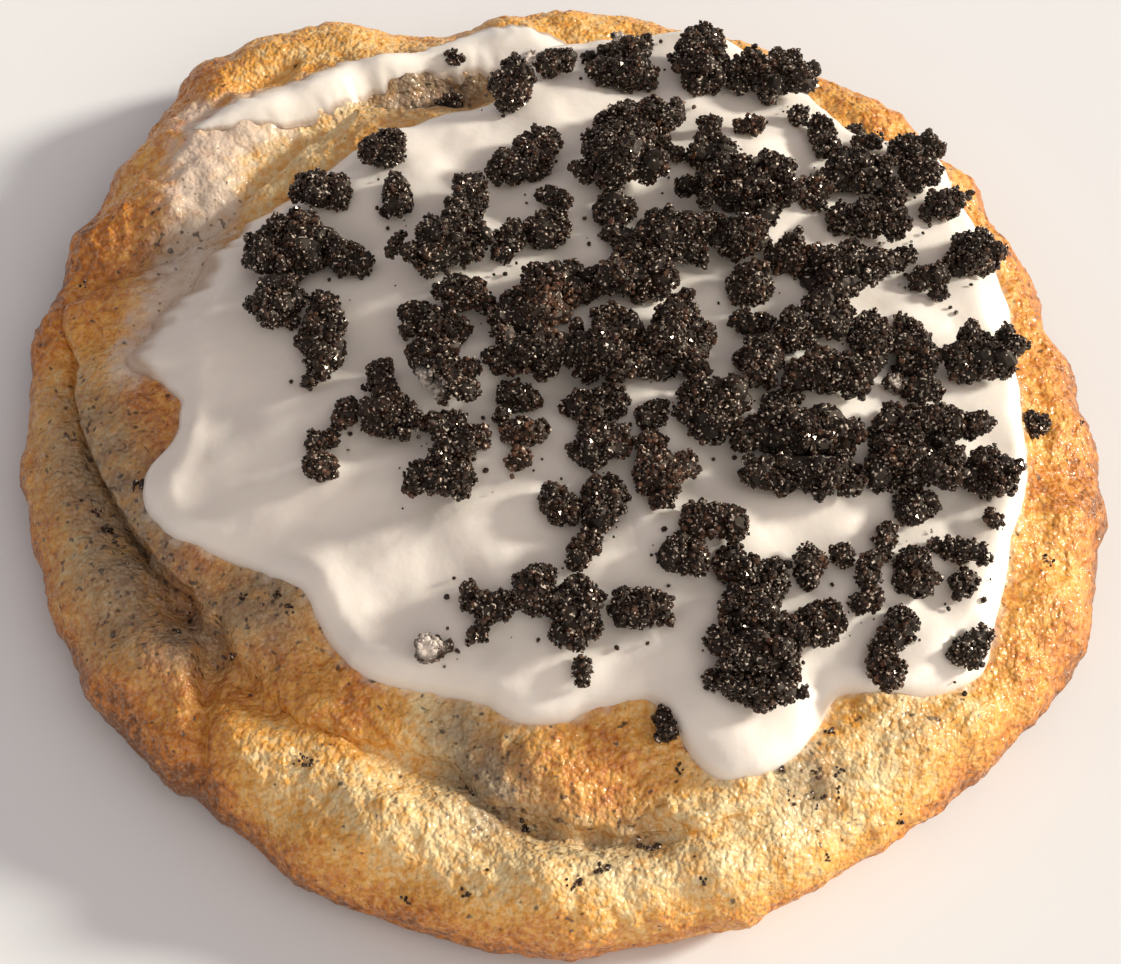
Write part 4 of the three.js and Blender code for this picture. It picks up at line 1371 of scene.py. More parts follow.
    def build(self, finish: bpy.types.Material) -> bpy.types.Object:
        """Makes the dough's object.

        Args:
            finish: The baked dough's material.

        Returns:
            The object, standing for the CAD node.
        """
        bearing = evenly(self.bearings)
        lines = self.form.lines(bearing, self.steps)
        sampled = np.array([self._resample(line) for line in lines])
        along = np.gradient(sampled, axis=1)
        normal = np.stack([-along[..., 1], along[..., 0]], -1)
        normal /= -np.linalg.norm(normal, axis=-1, keepdims=True)
        normal *= np.sign(normal[:, :1, 1:])
        way = np.radians(bearing)[:, None]
        cos, sin = np.cos(way), np.sin(way)
        place = np.stack([sampled[..., 0] * cos, sampled[..., 0] * sin, sampled[..., 1]], -1)
        steps = np.linalg.norm(np.diff(sampled, axis=1, prepend=sampled[:, :1]), axis=-1)
        run = np.cumsum(steps, axis=1).ravel()
        turn = np.broadcast_to(bearing[:, None], sampled.shape[:2]).ravel()
        lip = np.array([self._lip_run(line) for line in lines])[:, None]
        past = run - np.broadcast_to(lip, sampled.shape[:2]).ravel()
        out = self._out(place.reshape(-1, 3), run, turn) + self._lip(turn, past)
        out = out.reshape(sampled.shape[:2])
        radius = sampled[..., 0] + normal[..., 0] * out
        height = np.maximum(sampled[..., 1] + normal[..., 1] * out, 0)
        height[:, -1] = 0
        rings = np.stack([radius * cos, radius * sin, height], -1).transpose(1, 0, 2)
        inner = [(rings[-1] * np.array([share, share, 0]))[None] for share in self.foot_rings]
        rings = np.concatenate([rings, *inner])
        points = rings.reshape(-1, 3)
        faces = tube_faces(len(rings), self.bearings, len(points))
        points = np.concatenate([points, np.array([[0, 0, points[0, 2]], [0, 0, 0]])])
        data = MeshData()
        data.add(points, faces, **self._masks(points))
        made = data.build("cookie_dough", finish, Slot.DOUGH)
        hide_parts("cookie")
        return made

    def _lip_run(self, line: Array) -> float:
        """Returns how far along a section its lip is, counted from the first point kept."""
        kept = line[:self.LIP_SPANS * self.steps + 1]
        return np.cumsum(np.linalg.norm(np.diff(kept, axis=0), axis=1))[-1] - self.LIP_BACK

    def _lip(self, bearing: Array, past: Array) -> Array:
        """Works out how far the torn lip stands out, with an undercut just past it.

        Args:
            bearing: Degrees about the pole.
            past: Millimetres past the lip, along the section.

        Returns:
            Millimetres for each point, below zero in the undercut.
        """
        over = around(SECTIONS, bearing)[..., -1]
        torn = np.clip(over / self.TORN_OVERHANG, 0, 1)
        edge = circle(bearing, self.RAGGED_RADIUS)
        place = past - Noise(self.LIP_SEED).layers(edge, self.RAGGED)
        bead, undercut = (height * np.exp(-(((place - middle) / width) ** 2))
                          for height, middle, width in (self.BEAD, self.UNDERCUT))
        return torn * (bead - undercut)

    def _resample(self, line: Array) -> Array:
        """Spreads a section's points: few under the icing and many on the bare dough.

        Args:
            line: The section's points, as radius and height.

        Returns:
            The new points.
        """
        run = np.concatenate([[0], np.cumsum(np.linalg.norm(np.diff(line, axis=0), axis=1))])
        bare = run[np.searchsorted(line[:, 0], self.open_from)]
        at = np.concatenate([np.linspace(self.dome_from, bare, self.dome_rings, endpoint=False),
                             np.linspace(bare, run[-1], self.open_rings)])
        return np.stack([np.interp(at, run, line[:, 0]), np.interp(at, run, line[:, 1])], -1)

    def _out(self, points: Array, run: Array, bearing: Array) -> Array:
        """Works out how far the skin stands out of the smooth section.

        Args:
            points: Places on the smooth section.
            run: Millimetres along the section, for each place.
            bearing: Degrees about the pole, for each place.

        Returns:
            Millimetres for each place.
        """
        x, y, z = points.T
        noise = Noise(self.CRUST_SEED)
        fade = smoothstep(z, 0, EVEN_BELOW)
        slow = self.form.relief(points) + self.form.furrows(x, y)
        bare = 1 - smoothstep(self.icing.inside(x, y), *self.UNDER_ICING)
        crag = noise.layers(points, self.CRAGS)
        round_rim = np.radians(bearing) * self.WRINKLE_RADIUS / self.WRINKLE_LENGTH
        wrinkle = np.stack([round_rim, run / self.WRINKLE_WIDTH, np.zeros_like(run)], -1)
        crag += (self.WRINKLE_HEIGHT * noise.smooth(wrinkle, 1.0)
                 * smoothstep(np.hypot(x, y), *self.WRINKLE_ZONE))
        warped = points + noise.layers(points, self.WARP)[:, None]
        cracks = smoothstep(noise.cells(warped, self.CRACK_CELL), *self.CRACK_STEP)
        crag -= self.CRACK_DEPTH * (1 - cracks)
        crag += self.PEBBLE_HEIGHT * (self.PEBBLE_LEVEL - noise.cells(warped, self.PEBBLE_CELL))
        side = self.SIDE_SHARE + (1 - self.SIDE_SHARE) * fade
        return fade * slow + bare * side * crag * smoothstep(z, 0, self.FOOT_FADE)

    def _masks(self, points: Array) -> dict[str, Array]:
        """Works out the values that the dough's finish reads.

        Args:
            points: Places on the skin.

        Returns:
            The values for baking, less painted light, for stains, with painted shade in hollows,
            and for soaking, one of each for each place.
        """
        x, y, z = points.T
        noise = Noise(self.MASK_SEED)
        rim = around(SECTIONS, np.degrees(np.arctan2(y, x)))[..., 0]
        low = 1 - smoothstep(z, *self.LOW_ZONE)
        outer = smoothstep(np.hypot(x, y) / rim, *self.OUTER_ZONE)
        bake_and_painted_light = self.BAKE + self.BAKE_LOW * low * outer + self.BAKE_OUTER * outer
        bake_and_painted_light += self.BAKE_SPOT * covered(self.BAKED, x, y)
        # The pale spots; on the front-right rim they are painted light.
        bake_and_painted_light -= self.PALE_SPOT * covered(self.PALE, x, y)
        bake_and_painted_light += noise.layers(points, self.BAKE_LAYERS)
        bake_and_painted_light += self.BAKE_FOOT * (1 - smoothstep(z, *self.FOOT_ZONE))
        patchy = np.clip(self.STAIN + noise.layers(points, self.STAIN_LAYERS), self.STAIN_LEAST, 1)
        # Grey stains, with painted shade in the hollows.
        stain_and_shade = covered(self.STAINED, x, y) * patchy
        outside = np.minimum(self.icing.inside(x, y), 0)
        edge = self.SOAKED_EDGE * np.exp(-((outside / self.SOAKED_WIDTH) ** 2))
        soak = np.maximum(covered(self.SOAKED, x, y), edge)
        soak = smoothstep(soak + noise.layers(points, self.SOAKED_LAYERS), *self.SOAKED_STEP)
        return {"bake_and_painted_light": bake_and_painted_light, "stain_and_shade": stain_and_shade, "soak": soak}


@dataclass
class Icing:
    """The patch of icing over the dome and the streak in the trough behind it."""

    form: IcingForm
    bearings: int = 660
    shares: tuple[float, ...] = tuple(np.linspace(0.03, 0.84, 44))
    edge_rings: int = 28
    lifted: float = 0.1
    sunk: float = 1.5
    streak_points: int = 150
    streak_across: int = 41
    streak_sunk: float = 1.0

    STREAK_SEED, STREAK_RADIUS = 23, 40
    # The streak tapers to both ends of this span, in degrees about its middle.
    STREAK_MIDDLE, STREAK_SPAN, STREAK_LEAST = 114, 27.0, 0.02
    STREAK_WIDTH, STREAK_RAGGED = 1.1, ((3.0, 0.3), (1.1, 0.3))
    STREAK_SIDES = (0, 9)  # where in the noise the edge of each side is read
    STREAK_SWELL = ((3.4, 0.35),)
    STREAK_EDGE, STREAK_ROUND = 0.05, 1.5
    STREAK_FILM = (0.05, 0.4)

    def build(self, finish: bpy.types.Material) -> bpy.types.Object:
        """Makes the icing's object.

        Args:
            finish: The icing's material.

        Returns:
            The object, standing for the CAD node.
        """
        data = MeshData()
        self._add_patch(data)
        self._add_streak(data)
        made = data.build("icing_coat", finish, Slot.ICING)
        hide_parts("icing")
        return made

    def _add_patch(self, data: MeshData) -> None:
        """Adds the patch over the dome.

        Args:
            data: The mesh that it is added to.
        """
        bearing = evenly(self.bearings)
        way = np.radians(bearing)
        reach = self.form.reach(bearing)
        edge = 1 - (1 - self.shares[-1]) * np.cos(np.linspace(0, math.pi / 2, self.edge_rings + 1))
        shares = np.concatenate([self.shares, edge[1:]])
        radius = shares[:, None] * reach
        x = ICING_CENTRE[0] + radius * np.cos(way)
        y = ICING_CENTRE[1] + radius * np.sin(way)
        flat_x, flat_y = x.ravel(), y.ravel()
        inside = np.maximum((reach - radius).ravel(), 0)
        base = self.form.dough.top(flat_x, flat_y)
        thick = self.form.thickness(flat_x, flat_y, inside)
        top = np.stack([flat_x, flat_y, base + self.lifted + thick], -1)
        under = top[-self.bearings:].copy()
        under[:, 2] = base[-self.bearings:] - self.sunk
        rings = np.concatenate([top, under])
        low = self.form.dough.top(*np.array(ICING_CENTRE).reshape(2, 1))[0]
        peak = top[:self.bearings, 2].mean()
        ends = np.array([[*ICING_CENTRE, peak], [*ICING_CENTRE, low - self.sunk]])
        faces = tube_faces(len(shares) + 1, self.bearings, len(rings))
        film = self.form.film(flat_x, flat_y, inside)
        film = np.concatenate([film, film[-self.bearings:], np.zeros(2)])
        data.add(np.concatenate([rings, ends]), faces, film=film)

    def _add_streak(self, data: MeshData) -> None:
        """Adds the streak in the trough.

        Args:
            data: The mesh that it is added to.
        """
        noise = Noise(self.STREAK_SEED)
        bearing = np.linspace(STREAK[0, 0], STREAK[-1, 0], self.streak_points)
        radius = np.interp(bearing, STREAK[:, 0], STREAK[:, 1])
        half = np.interp(bearing, STREAK[:, 0], STREAK[:, 2])
        way = np.radians(bearing)
        line = circle(bearing, self.STREAK_RADIUS)
        away = (bearing - self.STREAK_MIDDLE) / self.STREAK_SPAN
        taper = np.sqrt(np.clip(1 - away**4, self.STREAK_LEAST, 1))
        side = np.sin(np.linspace(-math.pi / 2, math.pi / 2, self.streak_across))[:, None]
        edges = [half * taper * (self.STREAK_WIDTH + noise.layers(line + shift, self.STREAK_RAGGED))
                 for shift in self.STREAK_SIDES]
        r = radius + np.where(side < 0, edges[0], edges[1]) * side
        x = ICING_CENTRE[0] + r * np.cos(way)
        y = ICING_CENTRE[1] + r * np.sin(way)
        base = self.form.dough.top(x.ravel(), y.ravel()).reshape(x.shape)
        swell = 1 + noise.layers(on_floor(x, y), self.STREAK_SWELL).reshape(x.shape)
        bulge = np.clip(1 - side**2, 0, 1) ** self.STREAK_ROUND
        thick = self.STREAK_EDGE + STREAK_THICKNESS * taper * swell * bulge
        top = np.stack([x, y, base + thick], -1)
        under = np.stack([x, y, base - self.streak_sunk], -1)[::-1]
        loop = np.concatenate([top, under]).transpose(1, 0, 2)
        rings, count = loop.shape[:2]
        points = loop.reshape(-1, 3)
        ends = np.stack([loop[0].mean(axis=0), loop[-1].mean(axis=0)])
        faces = tube_faces(rings, count, len(points))[:, ::-1]
        both = np.concatenate([thick, np.zeros_like(thick)])
        film = 1 - smoothstep(both, *self.STREAK_FILM)
        film = np.concatenate([film.T.ravel(), np.zeros(2)])
        data.add(np.concatenate([points, ends]), faces, film=film)


class Nugget(NamedTuple):
    """One angular nugget of a crumb: middle, half sizes, turn in radians and fineness."""

    centre: Array
    sizes: Array
    turn: float
    fineness: int


class Crater(NamedTuple):
    """A hollow bitten out of a crumb: middle, radius and the way inwards."""

    middle: Array
    size: float
    inwards: Array


def upright(turn: float) -> Array:
    """Returns the matrix that turns points about the upright, by a turn in radians."""
    c, s = math.cos(turn), math.sin(turn)
    return np.array([[c, s, 0], [-s, c, 0], [0, 0, 1]])


def directions(draw: np.random.Generator, count: int) -> Array:
    """Returns some random directions."""
    ways = draw.normal(size=(count, 3))
    return ways / np.linalg.norm(ways, axis=1, keepdims=True)


OCTAHEDRON = (
    np.array([[1, 0, 0], [-1, 0, 0], [0, 1, 0], [0, -1, 0], [0, 0, 1], [0, 0, -1]], float),
    np.array([[0, 2, 4], [2, 1, 4], [1, 3, 4], [3, 0, 4],
              [2, 0, 5], [1, 2, 5], [3, 1, 5], [0, 3, 5]]),
)


@dataclass
class CrumbPile:
    """Crumbs built of angular nuggets that are covered all over with fine granules.

    A pair of values for a random size is its least value and what the draw adds at most.
    """

    name: str
    ground: Callable[[Array, Array], Array]
    seed: int
    nodes: tuple[str, ...] = ()
    spacing: float = 0.45
    data: MeshData = field(default_factory=MeshData)

    BALLS = {level: icosphere(level) for level in (0, 1, 2)}
    # The cores' tone lies below the ramp: painted shade that darkens them where the granules leave
    # them bare.
    CORE, CORE_FINENESS, CORE_TONE = 0.6, 2, -0.15
    CRATER_COUNT, CRATER_AREA = 2, 9
    CRATER_UP, CRATER_OUT, CRATER_SIZE, CRATER_LINING = 0.6, 1.02, (0.34, 0.26), 0.3
    NUGGET_COUNT, NUGGET_AREA = 4, 2.7
    NUGGET_SIZE, NUGGET_SHAPE, NUGGET_SHARE = (0.5, 0.85), (0.65, 0.6), 0.3
    NUGGET_UP, NUGGET_TURN, NUGGET_REACH = (-0.35, 1.35), 0.9, (0.7, 0.35)
    NUGGET_INSET, NUGGET_LEAST = 0.15, 0.1
    HORN_SHARE, HORN_REACH = 0.25, 1.14
    CUTS, CUT, CUT_LEAST = 9, (0.7, 0.28), 0.05
    SKIN = ((1.5, 0.3), (0.8, 0.2))
    TONES, ICED_LAYERS, ICED_STEP = ((3.0, 0.25),), ((0.9, 0.3),), (0.4, 0.85)
    BROWNER_SHARE = 0.6
    DENSITY, PROUD, LUMPS = 3.2, 0.04, ((1.2, 0.42),)
    BURIED, UNDERGROUND = 0.88, 0.05
    ROUND_SHARE, ROUND_WIDTHS, FACET_WIDTHS = 0.25, (0.46, 0.84), (0.3, 0.66)
    SMALLER, STRETCH, BENT, BENT_MOST = 1.8, (0.75, 0.5), 0.12, 1.5
    GRANULE_TONE, WET_SHARE, WET, DRY = 0.75, 0.5, 1.0, 0.2
    ICED = spots(
        (-12.0, -30.4, 1.7, 1.0), (-3.0, 44.6, 1.6, 0.9), (6.4, 45.4, 1.6, 0.8),
        (31.9, -1.6, 1.2, 0.7), (-4.4, 0.0, 1.5, 0.5), (-13.1, -5.1, 1.6, 0.75),
        (-11.4, -5.6, 1.0, 0.6), (-12.0, -8.6, 1.0, 0.5),
    )
    BROWNER = spots(
        (0.0, 4.0, 3.0, 0.8), (-3.9, -10.0, 3.0, 0.6), (9.5, -13.5, 3.5, 0.5),
        (19.0, 30.5, 3.0, 0.6), (24.0, 13.0, 3.0, 0.3), (-9.0, -25.0, 2.5, 0.5),
        (-22.0, -11.0, 3.0, 0.3), (13.0, -21.0, 3.0, 0.3),
    )

    def __post_init__(self) -> None:
        """Starts the pile's own random draws and noise."""
        self.draw = np.random.default_rng(self.seed)
        self.noise = Noise(self.seed)

    def add(self, lobes: list[Lobe]) -> None:
        """Adds one crumb.

        Args:
            lobes: The lobes that it is made of.
        """
        nuggets = [nugget for lobe in lobes for nugget in self._nuggets(lobe)]
        craters = [crater for lobe in lobes for crater in self._craters(lobe)]
        nuggets = [nugget for nugget in nuggets if nugget.fineness == self.CORE_FINENESS
                   or not any(np.linalg.norm(nugget.centre - crater.middle) < crater.size
                              for crater in craters)]
        for nugget in nuggets:
            self._add_nugget(nugget)
        self._add_granules(nuggets, craters)

    def _between(self, pair: tuple[float, float], *size: int) -> Array | float:
        """Returns random values, given their least value and what the draw adds at most."""
        return pair[0] + pair[1] * self.draw.random(*size)

    def _frame(self, lobe: Lobe) -> tuple[Array, Array, Array]:
        """Works out how a lobe lies.

        Args:
            lobe: The lobe.

        Returns:
            Its middle, its half sizes and its turn as a matrix.
        """
        tall = HEIGHT_SHARE * lobe.width + HEIGHT_MORE
        turn = math.radians(lobe.turn)
        turned = np.array([[math.cos(turn), -math.sin(turn)], [math.sin(turn), math.cos(turn)]])
        base = float(self.ground(np.array([lobe.x]), np.array([lobe.y]))[0])
        centre = np.array([lobe.x, lobe.y, base + (0.5 - SINK) * tall])
        return centre, np.array([lobe.length, lobe.width, tall]) / 2, turned

    def _craters(self, lobe: Lobe) -> list[Crater]:
        """Draws the hollows bitten out of a lobe.

        Args:
            lobe: The lobe.

        Returns:
            The hollows.
        """
        centre, half, turned = self._frame(lobe)
        made = []
        for _ in range(self.CRATER_COUNT + int(lobe.length * lobe.width / self.CRATER_AREA)):
            way = self.draw.normal(size=3)
            way[2] = self.CRATER_UP * abs(way[2])
            place = half * way / np.linalg.norm(way)
            place[:2] = turned @ place[:2]
            size = half.min() * self._between(self.CRATER_SIZE)
            made.append(Crater(centre + self.CRATER_OUT * place, size,
                               -place / np.linalg.norm(place)))
        return made

    def _nuggets(self, lobe: Lobe) -> list[Nugget]:
        """Draws the nuggets of a lobe.

        Args:
            lobe: The lobe.

        Returns:
            Its core and the nuggets round it.
        """
        draw = self.draw
        centre, half, turned = self._frame(lobe)
        count = int(self.NUGGET_COUNT + lobe.length * lobe.width / self.NUGGET_AREA)
        made = [Nugget(centre, self.CORE * half, math.radians(lobe.turn), self.CORE_FINENESS)]
        for k in range(count):
            size = min(self.NUGGET_SHARE * lobe.width, self._between(self.NUGGET_SIZE))
            own = size * self._between(self.NUGGET_SHAPE, 3)
            angle = 2 * math.pi * (k + self.NUGGET_TURN * draw.random()) / count
            up = self._between(self.NUGGET_UP)
            flat = math.sqrt(max(0.0, 1 - up * up))
            place = np.array([flat * math.cos(angle), flat * math.sin(angle), up])
            horned = draw.random() < self.HORN_SHARE
            reach = self.HORN_REACH if horned else self._between(self.NUGGET_REACH)
            place *= np.maximum(half - own - self.NUGGET_INSET, self.NUGGET_LEAST) * reach
            place[:2] = turned @ place[:2]
            made.append(Nugget(centre + place, own, 2 * math.pi * draw.random(), 1))
        return made

    def _add_nugget(self, nugget: Nugget) -> None:
        """Adds one nugget: a ball cut flat by several planes, with a rough skin, painted dark as
        shade between the granules.

        Args:
            nugget: The nugget.
        """
        ways, faces = self.BALLS[nugget.fineness]
        planes = directions(self.draw, self.CUTS)
        cut = self._between(self.CUT, self.CUTS)
        facing = np.maximum(ways @ planes.T, self.CUT_LEAST)
        reach = np.minimum(1, (cut / facing).min(axis=1))
        points = nugget.centre + ways * reach[:, None] * nugget.sizes @ upright(nugget.turn)
        points = points + ways * self.noise.layers(points, self.SKIN)[:, None]
        # Bare cores and nuggets take dark tones, painted shade for the gaps between the granules.
        tone = self.CORE_TONE if nugget.fineness == self.CORE_FINENESS else 0.0
        self._add(points, faces, tone, 0.0)

    def _add(self, points: Array, faces: Array, tone: Array | float, wet: Array | float) -> None:
        """Adds a part with the values that the crumbs' finish reads.

        Args:
            points: Its points.
            faces: Its triangles.
            tone: How brown it is, from 0 to 1; below 0 on the cores, as painted shade.
            wet: How glossy it is, from 0 to 1.
        """
        x, y, _ = points.T
        tone = tone + self.noise.layers(points, self.TONES)
        tone = tone + self.BROWNER_SHARE * covered(self.BROWNER, x, y)
        iced = covered(self.ICED, x, y) + self.noise.layers(points, self.ICED_LAYERS)
        self.data.add(points, faces, tone=tone, wet=wet, iced=smoothstep(iced, *self.ICED_STEP))

    def _add_granules(self, nuggets: list[Nugget], craters: list[Crater]) -> None:
        """Adds the granules that cover a crumb and line its hollows.

        Args:
            nuggets: The crumb's nuggets.
            craters: The crumb's hollows.
        """
        found = []
        for centre, sizes, turn, _ in nuggets:
            area = 4 * math.pi * np.prod(sizes) ** (2 / 3)
            ways = directions(self.draw, int(area * self.DENSITY / self.spacing**2))
            shape = (ways * (sizes + self.PROUD)) @ upright(turn)
            lumpy = self.noise.layers(centre + shape, self.LUMPS)[:, None] * ways
            found.append(centre + shape + lumpy)
        points = np.concatenate(found)
        keep = np.ones(len(points), bool)
        for middle, size, inwards in craters:
            away = points - middle
            reach = np.linalg.norm(away, axis=1)
            hollow = reach < size
            keep &= ~hollow | (away @ inwards > self.CRATER_LINING * reach)
            points[hollow] = middle + away[hollow] * (size / reach[hollow, None])
        for centre, sizes, turn, _ in nuggets:
            local = (points - centre) @ upright(-turn)
            keep &= np.linalg.norm(local / sizes, axis=1) > self.BURIED
        points = points[keep]
        ground = self.ground(points[:, 0], points[:, 1])
        points = points[points[:, 2] > ground - self.UNDERGROUND]
        cells = np.floor(points / self.spacing).astype(int)
        _, first = np.unique(cells, axis=0, return_index=True)
        points = points[first]
        rounded = self.draw.random(len(points)) < self.ROUND_SHARE
        self.scatter(points[rounded], *self.ROUND_WIDTHS)
        self.scatter(points[~rounded], *self.FACET_WIDTHS, OCTAHEDRON)

    def scatter(self, places: Array, small: float, large: float,
                ball: tuple[Array, Array] | None = None) -> None:
        """Adds a granule at each place.

        Args:
            places: The middles of the granules, one to a row.
            small: The least width.
            large: The greatest width, which few reach.
            ball: The points and triangles that each is made from, or None for a round one.
        """
        ways, faces = ball or self.BALLS[0]
        count = len(places)
        if not count:
            return
        draw = self.draw
        size = small + (large - small) * draw.random(count) ** self.SMALLER
        turns = np.linalg.qr(draw.normal(size=(count, 3, 3)))[0]
        stretch = self.STRETCH[0] + self.STRETCH[1] * draw.random((count, 1, 3))
        bent = draw.normal(size=(count, len(ways), 1)).clip(-self.BENT_MOST, self.BENT_MOST)
        bent = 1 + self.BENT * bent
        shape = np.einsum("nvj,nkj->nvk", ways[None] * stretch * bent, turns)
        points = places[:, None] + shape * size[:, None, None] / 2
        offsets = np.arange(count)[:, None, None] * len(ways)
        flip = np.linalg.det(turns) < 0
        sided = np.where(flip[:, None, None], faces[None, :, ::-1], faces[None])
        tone = np.repeat(self.GRANULE_TONE * draw.random(count), len(ways))
        wet = np.where(draw.random(count) < self.WET_SHARE, self.WET, self.DRY)
        self._add(points.reshape(-1, 3), (sided + offsets).reshape(-1, 3), tone,
                  np.repeat(wet, len(ways)))

    def build(self, finish: bpy.types.Material) -> bpy.types.Object:
        """Makes the pile's object.

        Args:
            finish: The crumbs' material.

        Returns:
            The object, standing for the pile's CAD nodes.
        """
        made = self.data.build(self.name, finish, Slot.CRUMB, rounded=False)
        if self.nodes:
            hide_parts(*self.nodes)
        return made


@dataclass
class CrumbBed:
    """All the crumbs: the big ones, the small ones in the icing, the strays and the specks."""

    icing: IcingForm
    dough: DoughForm
    loose: int = 260
    chunks_left: int = 8
    crumbs_left: int = 45
    large_seed: int = 31
    small_seed: int = 41
    stray_seed: int = 51
    speck_seed: int = 61

    # Loose specks: how far off a crumb they lie, their widths and how high they sit.
    LOOSE_AWAY, LOOSE_WIDTHS, LIFTED = 1.6, (0.16, 0.6), 0.05
    SPECK_LIFT, SPECK_MORE = 0.2, 1.1
    # Flakes: grains in each, how far they spread and their widths.
    FLAKE_GRAINS, FLAKE_SPREAD, FLAKE_LEAST, FLAKE_SHARE = 6, 0.28, 0.3, 0.45

    def build(self, finish: bpy.types.Material) -> list[bpy.types.Object]:
        """Makes the objects of all the crumbs.

        Args:
            finish: The crumbs' material.

        Returns:
            The objects.
        """
        chunks = [[Lobe(*row) for row in rows] for rows in CHUNKS]
        small = [Lobe(*row) for row in CRUMBS]
        made = []
        names = tuple(f"crumb_chunk_{k + 1:02d}" for k in range(len(chunks)))
        left, right = slice(0, self.chunks_left), slice(self.chunks_left, None)
        for k, (side, part) in enumerate((("left", left), ("right", right))):
            pile = CrumbPile(f"large_crumbs_{side}", self.icing.top, self.large_seed + k,
                             names[part])
            for lobes in chunks[part]:
                pile.add(lobes)
            made.append(pile.build(finish))
        left, right = small[:self.crumbs_left], small[self.crumbs_left:]
        for k, (side, part) in enumerate((("left", left), ("right", right))):
            pile = CrumbPile(f"small_crumbs_{side}", self.icing.top, self.small_seed + k)
            for lobe in part:
                pile.add([lobe])
            if side == "right":
                self._add_strays(pile)
            made.append(pile.build(finish))
        made.append(self._specks(small, chunks, finish))
        return made

    def _add_strays(self, pile: CrumbPile) -> None:
        """Adds the crumbs that lie on bare dough.

        Args:
            pile: The pile that they are added to.
        """
        for row in STRAYS:
            stray = CrumbPile("stray", self.dough.top, self.stray_seed)
            stray.data, stray.draw = pile.data, pile.draw
            stray.add([Lobe(*row)])

    def _specks(self, small: list[Lobe], chunks: list[list[Lobe]],
                finish: bpy.types.Material) -> bpy.types.Object:
        """Makes the loose specks that lie between the crumbs, and the flakes in the dough.

        Args:
            small: The small crumbs.
            chunks: The big crumbs.
            finish: The crumbs' material.

        Returns:
            The object.
        """
        pile = CrumbPile("crumb_specks", self.icing.top, self.speck_seed)
        draw = pile.draw
        lobes = small + [lobe for chunk in chunks for lobe in chunk]
        places = []
        for k in draw.integers(len(lobes), size=self.loose):
            lobe = lobes[k]
            angle = 2 * math.pi * draw.random()
            away = 1 + self.LOOSE_AWAY * draw.random() ** 2 / max(lobe.width / 2, 1)
            turn = math.radians(lobe.turn)
            along = away * lobe.length / 2 * math.cos(angle)
            side = away * lobe.width / 2 * math.sin(angle)
            places.append((lobe.x + along * math.cos(turn) - side * math.sin(turn),
                           lobe.y + along * math.sin(turn) + side * math.cos(turn)))
        x, y = np.array(places).T
        top = self.icing.top(x, y) + self.LIFTED
        pile.scatter(np.stack([x, y, top], -1), *self.LOOSE_WIDTHS)
        for row_x, row_y, size in SPECKS:
            x, y = np.array([row_x]), np.array([row_y])
            top = self.icing.top(x, y) + self.SPECK_LIFT * size
            pile.scatter(np.stack([x, y, top], -1), size, size * self.SPECK_MORE)
        for row_x, row_y, size in FLAKES:
            spread = self.FLAKE_SPREAD * size * draw.normal(size=(2, self.FLAKE_GRAINS))
            x, y = row_x + spread[0], row_y + spread[1]
            places = np.stack([x, y, self.dough.top(x, y) + self.LIFTED], -1)
            pile.scatter(places, self.FLAKE_LEAST, self.FLAKE_SHARE * size)
        return pile.build(finish)


# ------------------------------------------------------------------ studio


@dataclass(frozen=True)
class Sun:
    """A far light.

    Args:
        bearing: Degrees from +X of where it stands.
        elevation: Degrees above the floor.
        strength: Its irradiance.
        angle: Degrees across its disk.
        colour: Its colour.
    """

    bearing: float
    elevation: float
    strength: float
    angle: float
    colour: tuple[float, float, float]

    def build(self, name: str) -> None:
        """Adds the light to the scene.

        Args:
            name: Its name.
        """
        light = bpy.data.lights.new(name, "SUN")
        light.energy = self.strength
        light.angle = math.radians(self.angle)
        light.color = self.colour
        lamp = bpy.data.objects.new(name, light)
        a, e = math.radians(self.bearing), math.radians(self.elevation)
        towards = Vector((math.cos(a) * math.cos(e), math.sin(a) * math.cos(e), math.sin(e)))
        lamp.rotation_mode = "QUATERNION"
        lamp.rotation_quaternion = towards.to_track_quat("Z", "Y")
        bpy.context.scene.collection.objects.link(lamp)


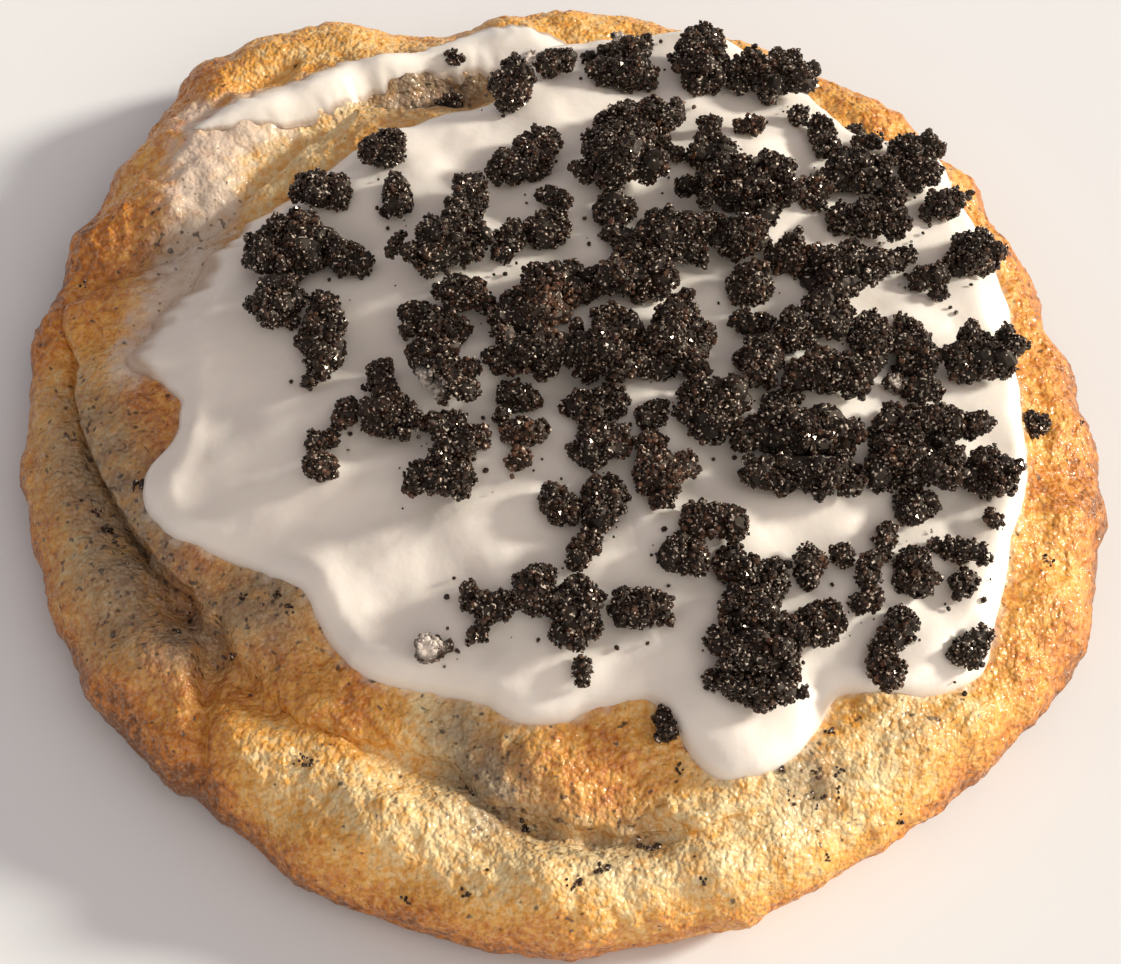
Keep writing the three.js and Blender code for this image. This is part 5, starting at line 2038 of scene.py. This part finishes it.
@dataclass(frozen=True)
class Studio:
    """A plain pale floor, a low warm key light, a soft one in front, a fill and the camera."""

    target: tuple[float, float, float] = (0.1, -7.05, 9.0)
    distance: float = 350.0
    elevation: float = 56.0
    lens: float = 115.9
    sensor: float = 36.0
    seen: tuple[float, float] = (0.01, 5.0)
    key: Sun = Sun(12.0, 21.5, 4.2, 10.0, (1.0, 0.905, 0.76))
    front: Sun = Sun(-55.0, 38.0, 1.05, 75.0, (1.0, 0.88, 0.74))
    fill_colour: Colour = (1.0, 0.87, 0.85, 1.0)
    fill_strength: float = 0.33
    floor_half: float = 900.0
    floor_gap: float = 0.02
    floor_colours: tuple[str, str] = ("eef5fc", "f3f9ff")
    floor_clouds: Grain = Grain(180.0)
    floor_roughness: float = 0.8

    def build(self) -> None:
        """Makes the floor, the lights and the camera."""
        self._floor()
        self.key.build("key")
        self.front.build("front")
        self._fill()
        self._camera()
        scene = bpy.context.scene
        scene.view_settings.view_transform = "Standard"
        scene.view_settings.look = "None"

    def _floor(self) -> None:
        """Makes the floor just under the cookie's foot."""
        corners = np.array([[-1, -1, 0], [1, -1, 0], [1, 1, 0], [-1, 1, 0]]) * self.floor_half
        mesh = bpy.data.meshes.new("floor")
        mesh.from_pydata((corners * MM).tolist(), [], [(0, 1, 2, 3)])
        made, s, body = new_material("pale_floor", Roughness=self.floor_roughness)
        pair = [srgb(code) for code in self.floor_colours]
        s.wire(s.mix(s.grain(self.floor_clouds), *pair), body.inputs["Base Color"])
        mesh.materials.append(made)
        floor = bpy.data.objects.new("floor", mesh)
        floor.location.z = -self.floor_gap * MM
        bpy.context.scene.collection.objects.link(floor)

    def _fill(self) -> None:
        """Makes the even fill all round."""
        world = bpy.data.worlds.new("fill")
        world.use_nodes = True
        background = world.node_tree.nodes["Background"]
        background.inputs["Color"].default_value = self.fill_colour
        background.inputs["Strength"].default_value = self.fill_strength
        bpy.context.scene.world = world

    def _camera(self) -> None:
        """Makes the camera at the photograph's angle."""
        lens = bpy.data.cameras.new("camera")
        lens.lens = self.lens
        lens.sensor_width = self.sensor
        lens.clip_start, lens.clip_end = self.seen
        camera = bpy.data.objects.new("camera", lens)
        e = math.radians(self.elevation)
        back = Vector((0, -math.cos(e), math.sin(e)))
        camera.location = (Vector(self.target) + back * self.distance) * MM
        camera.rotation_mode = "QUATERNION"
        camera.rotation_quaternion = back.to_track_quat("Z", "Y")
        bpy.context.scene.collection.objects.link(camera)
        bpy.context.scene.camera = camera


def main() -> None:
    """Builds the cookie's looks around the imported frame."""
    logging.basicConfig(level=logging.INFO, format="%(name)s: %(message)s")
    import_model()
    dough = DoughForm()
    icing = IcingForm(dough)
    Dough(dough, icing).build(DoughFinish().build())
    Icing(icing).build(IcingFinish().build())
    CrumbBed(icing, dough).build(CrumbFinish().build())
    Studio().build()


if __name__ == "__main__":
    main()
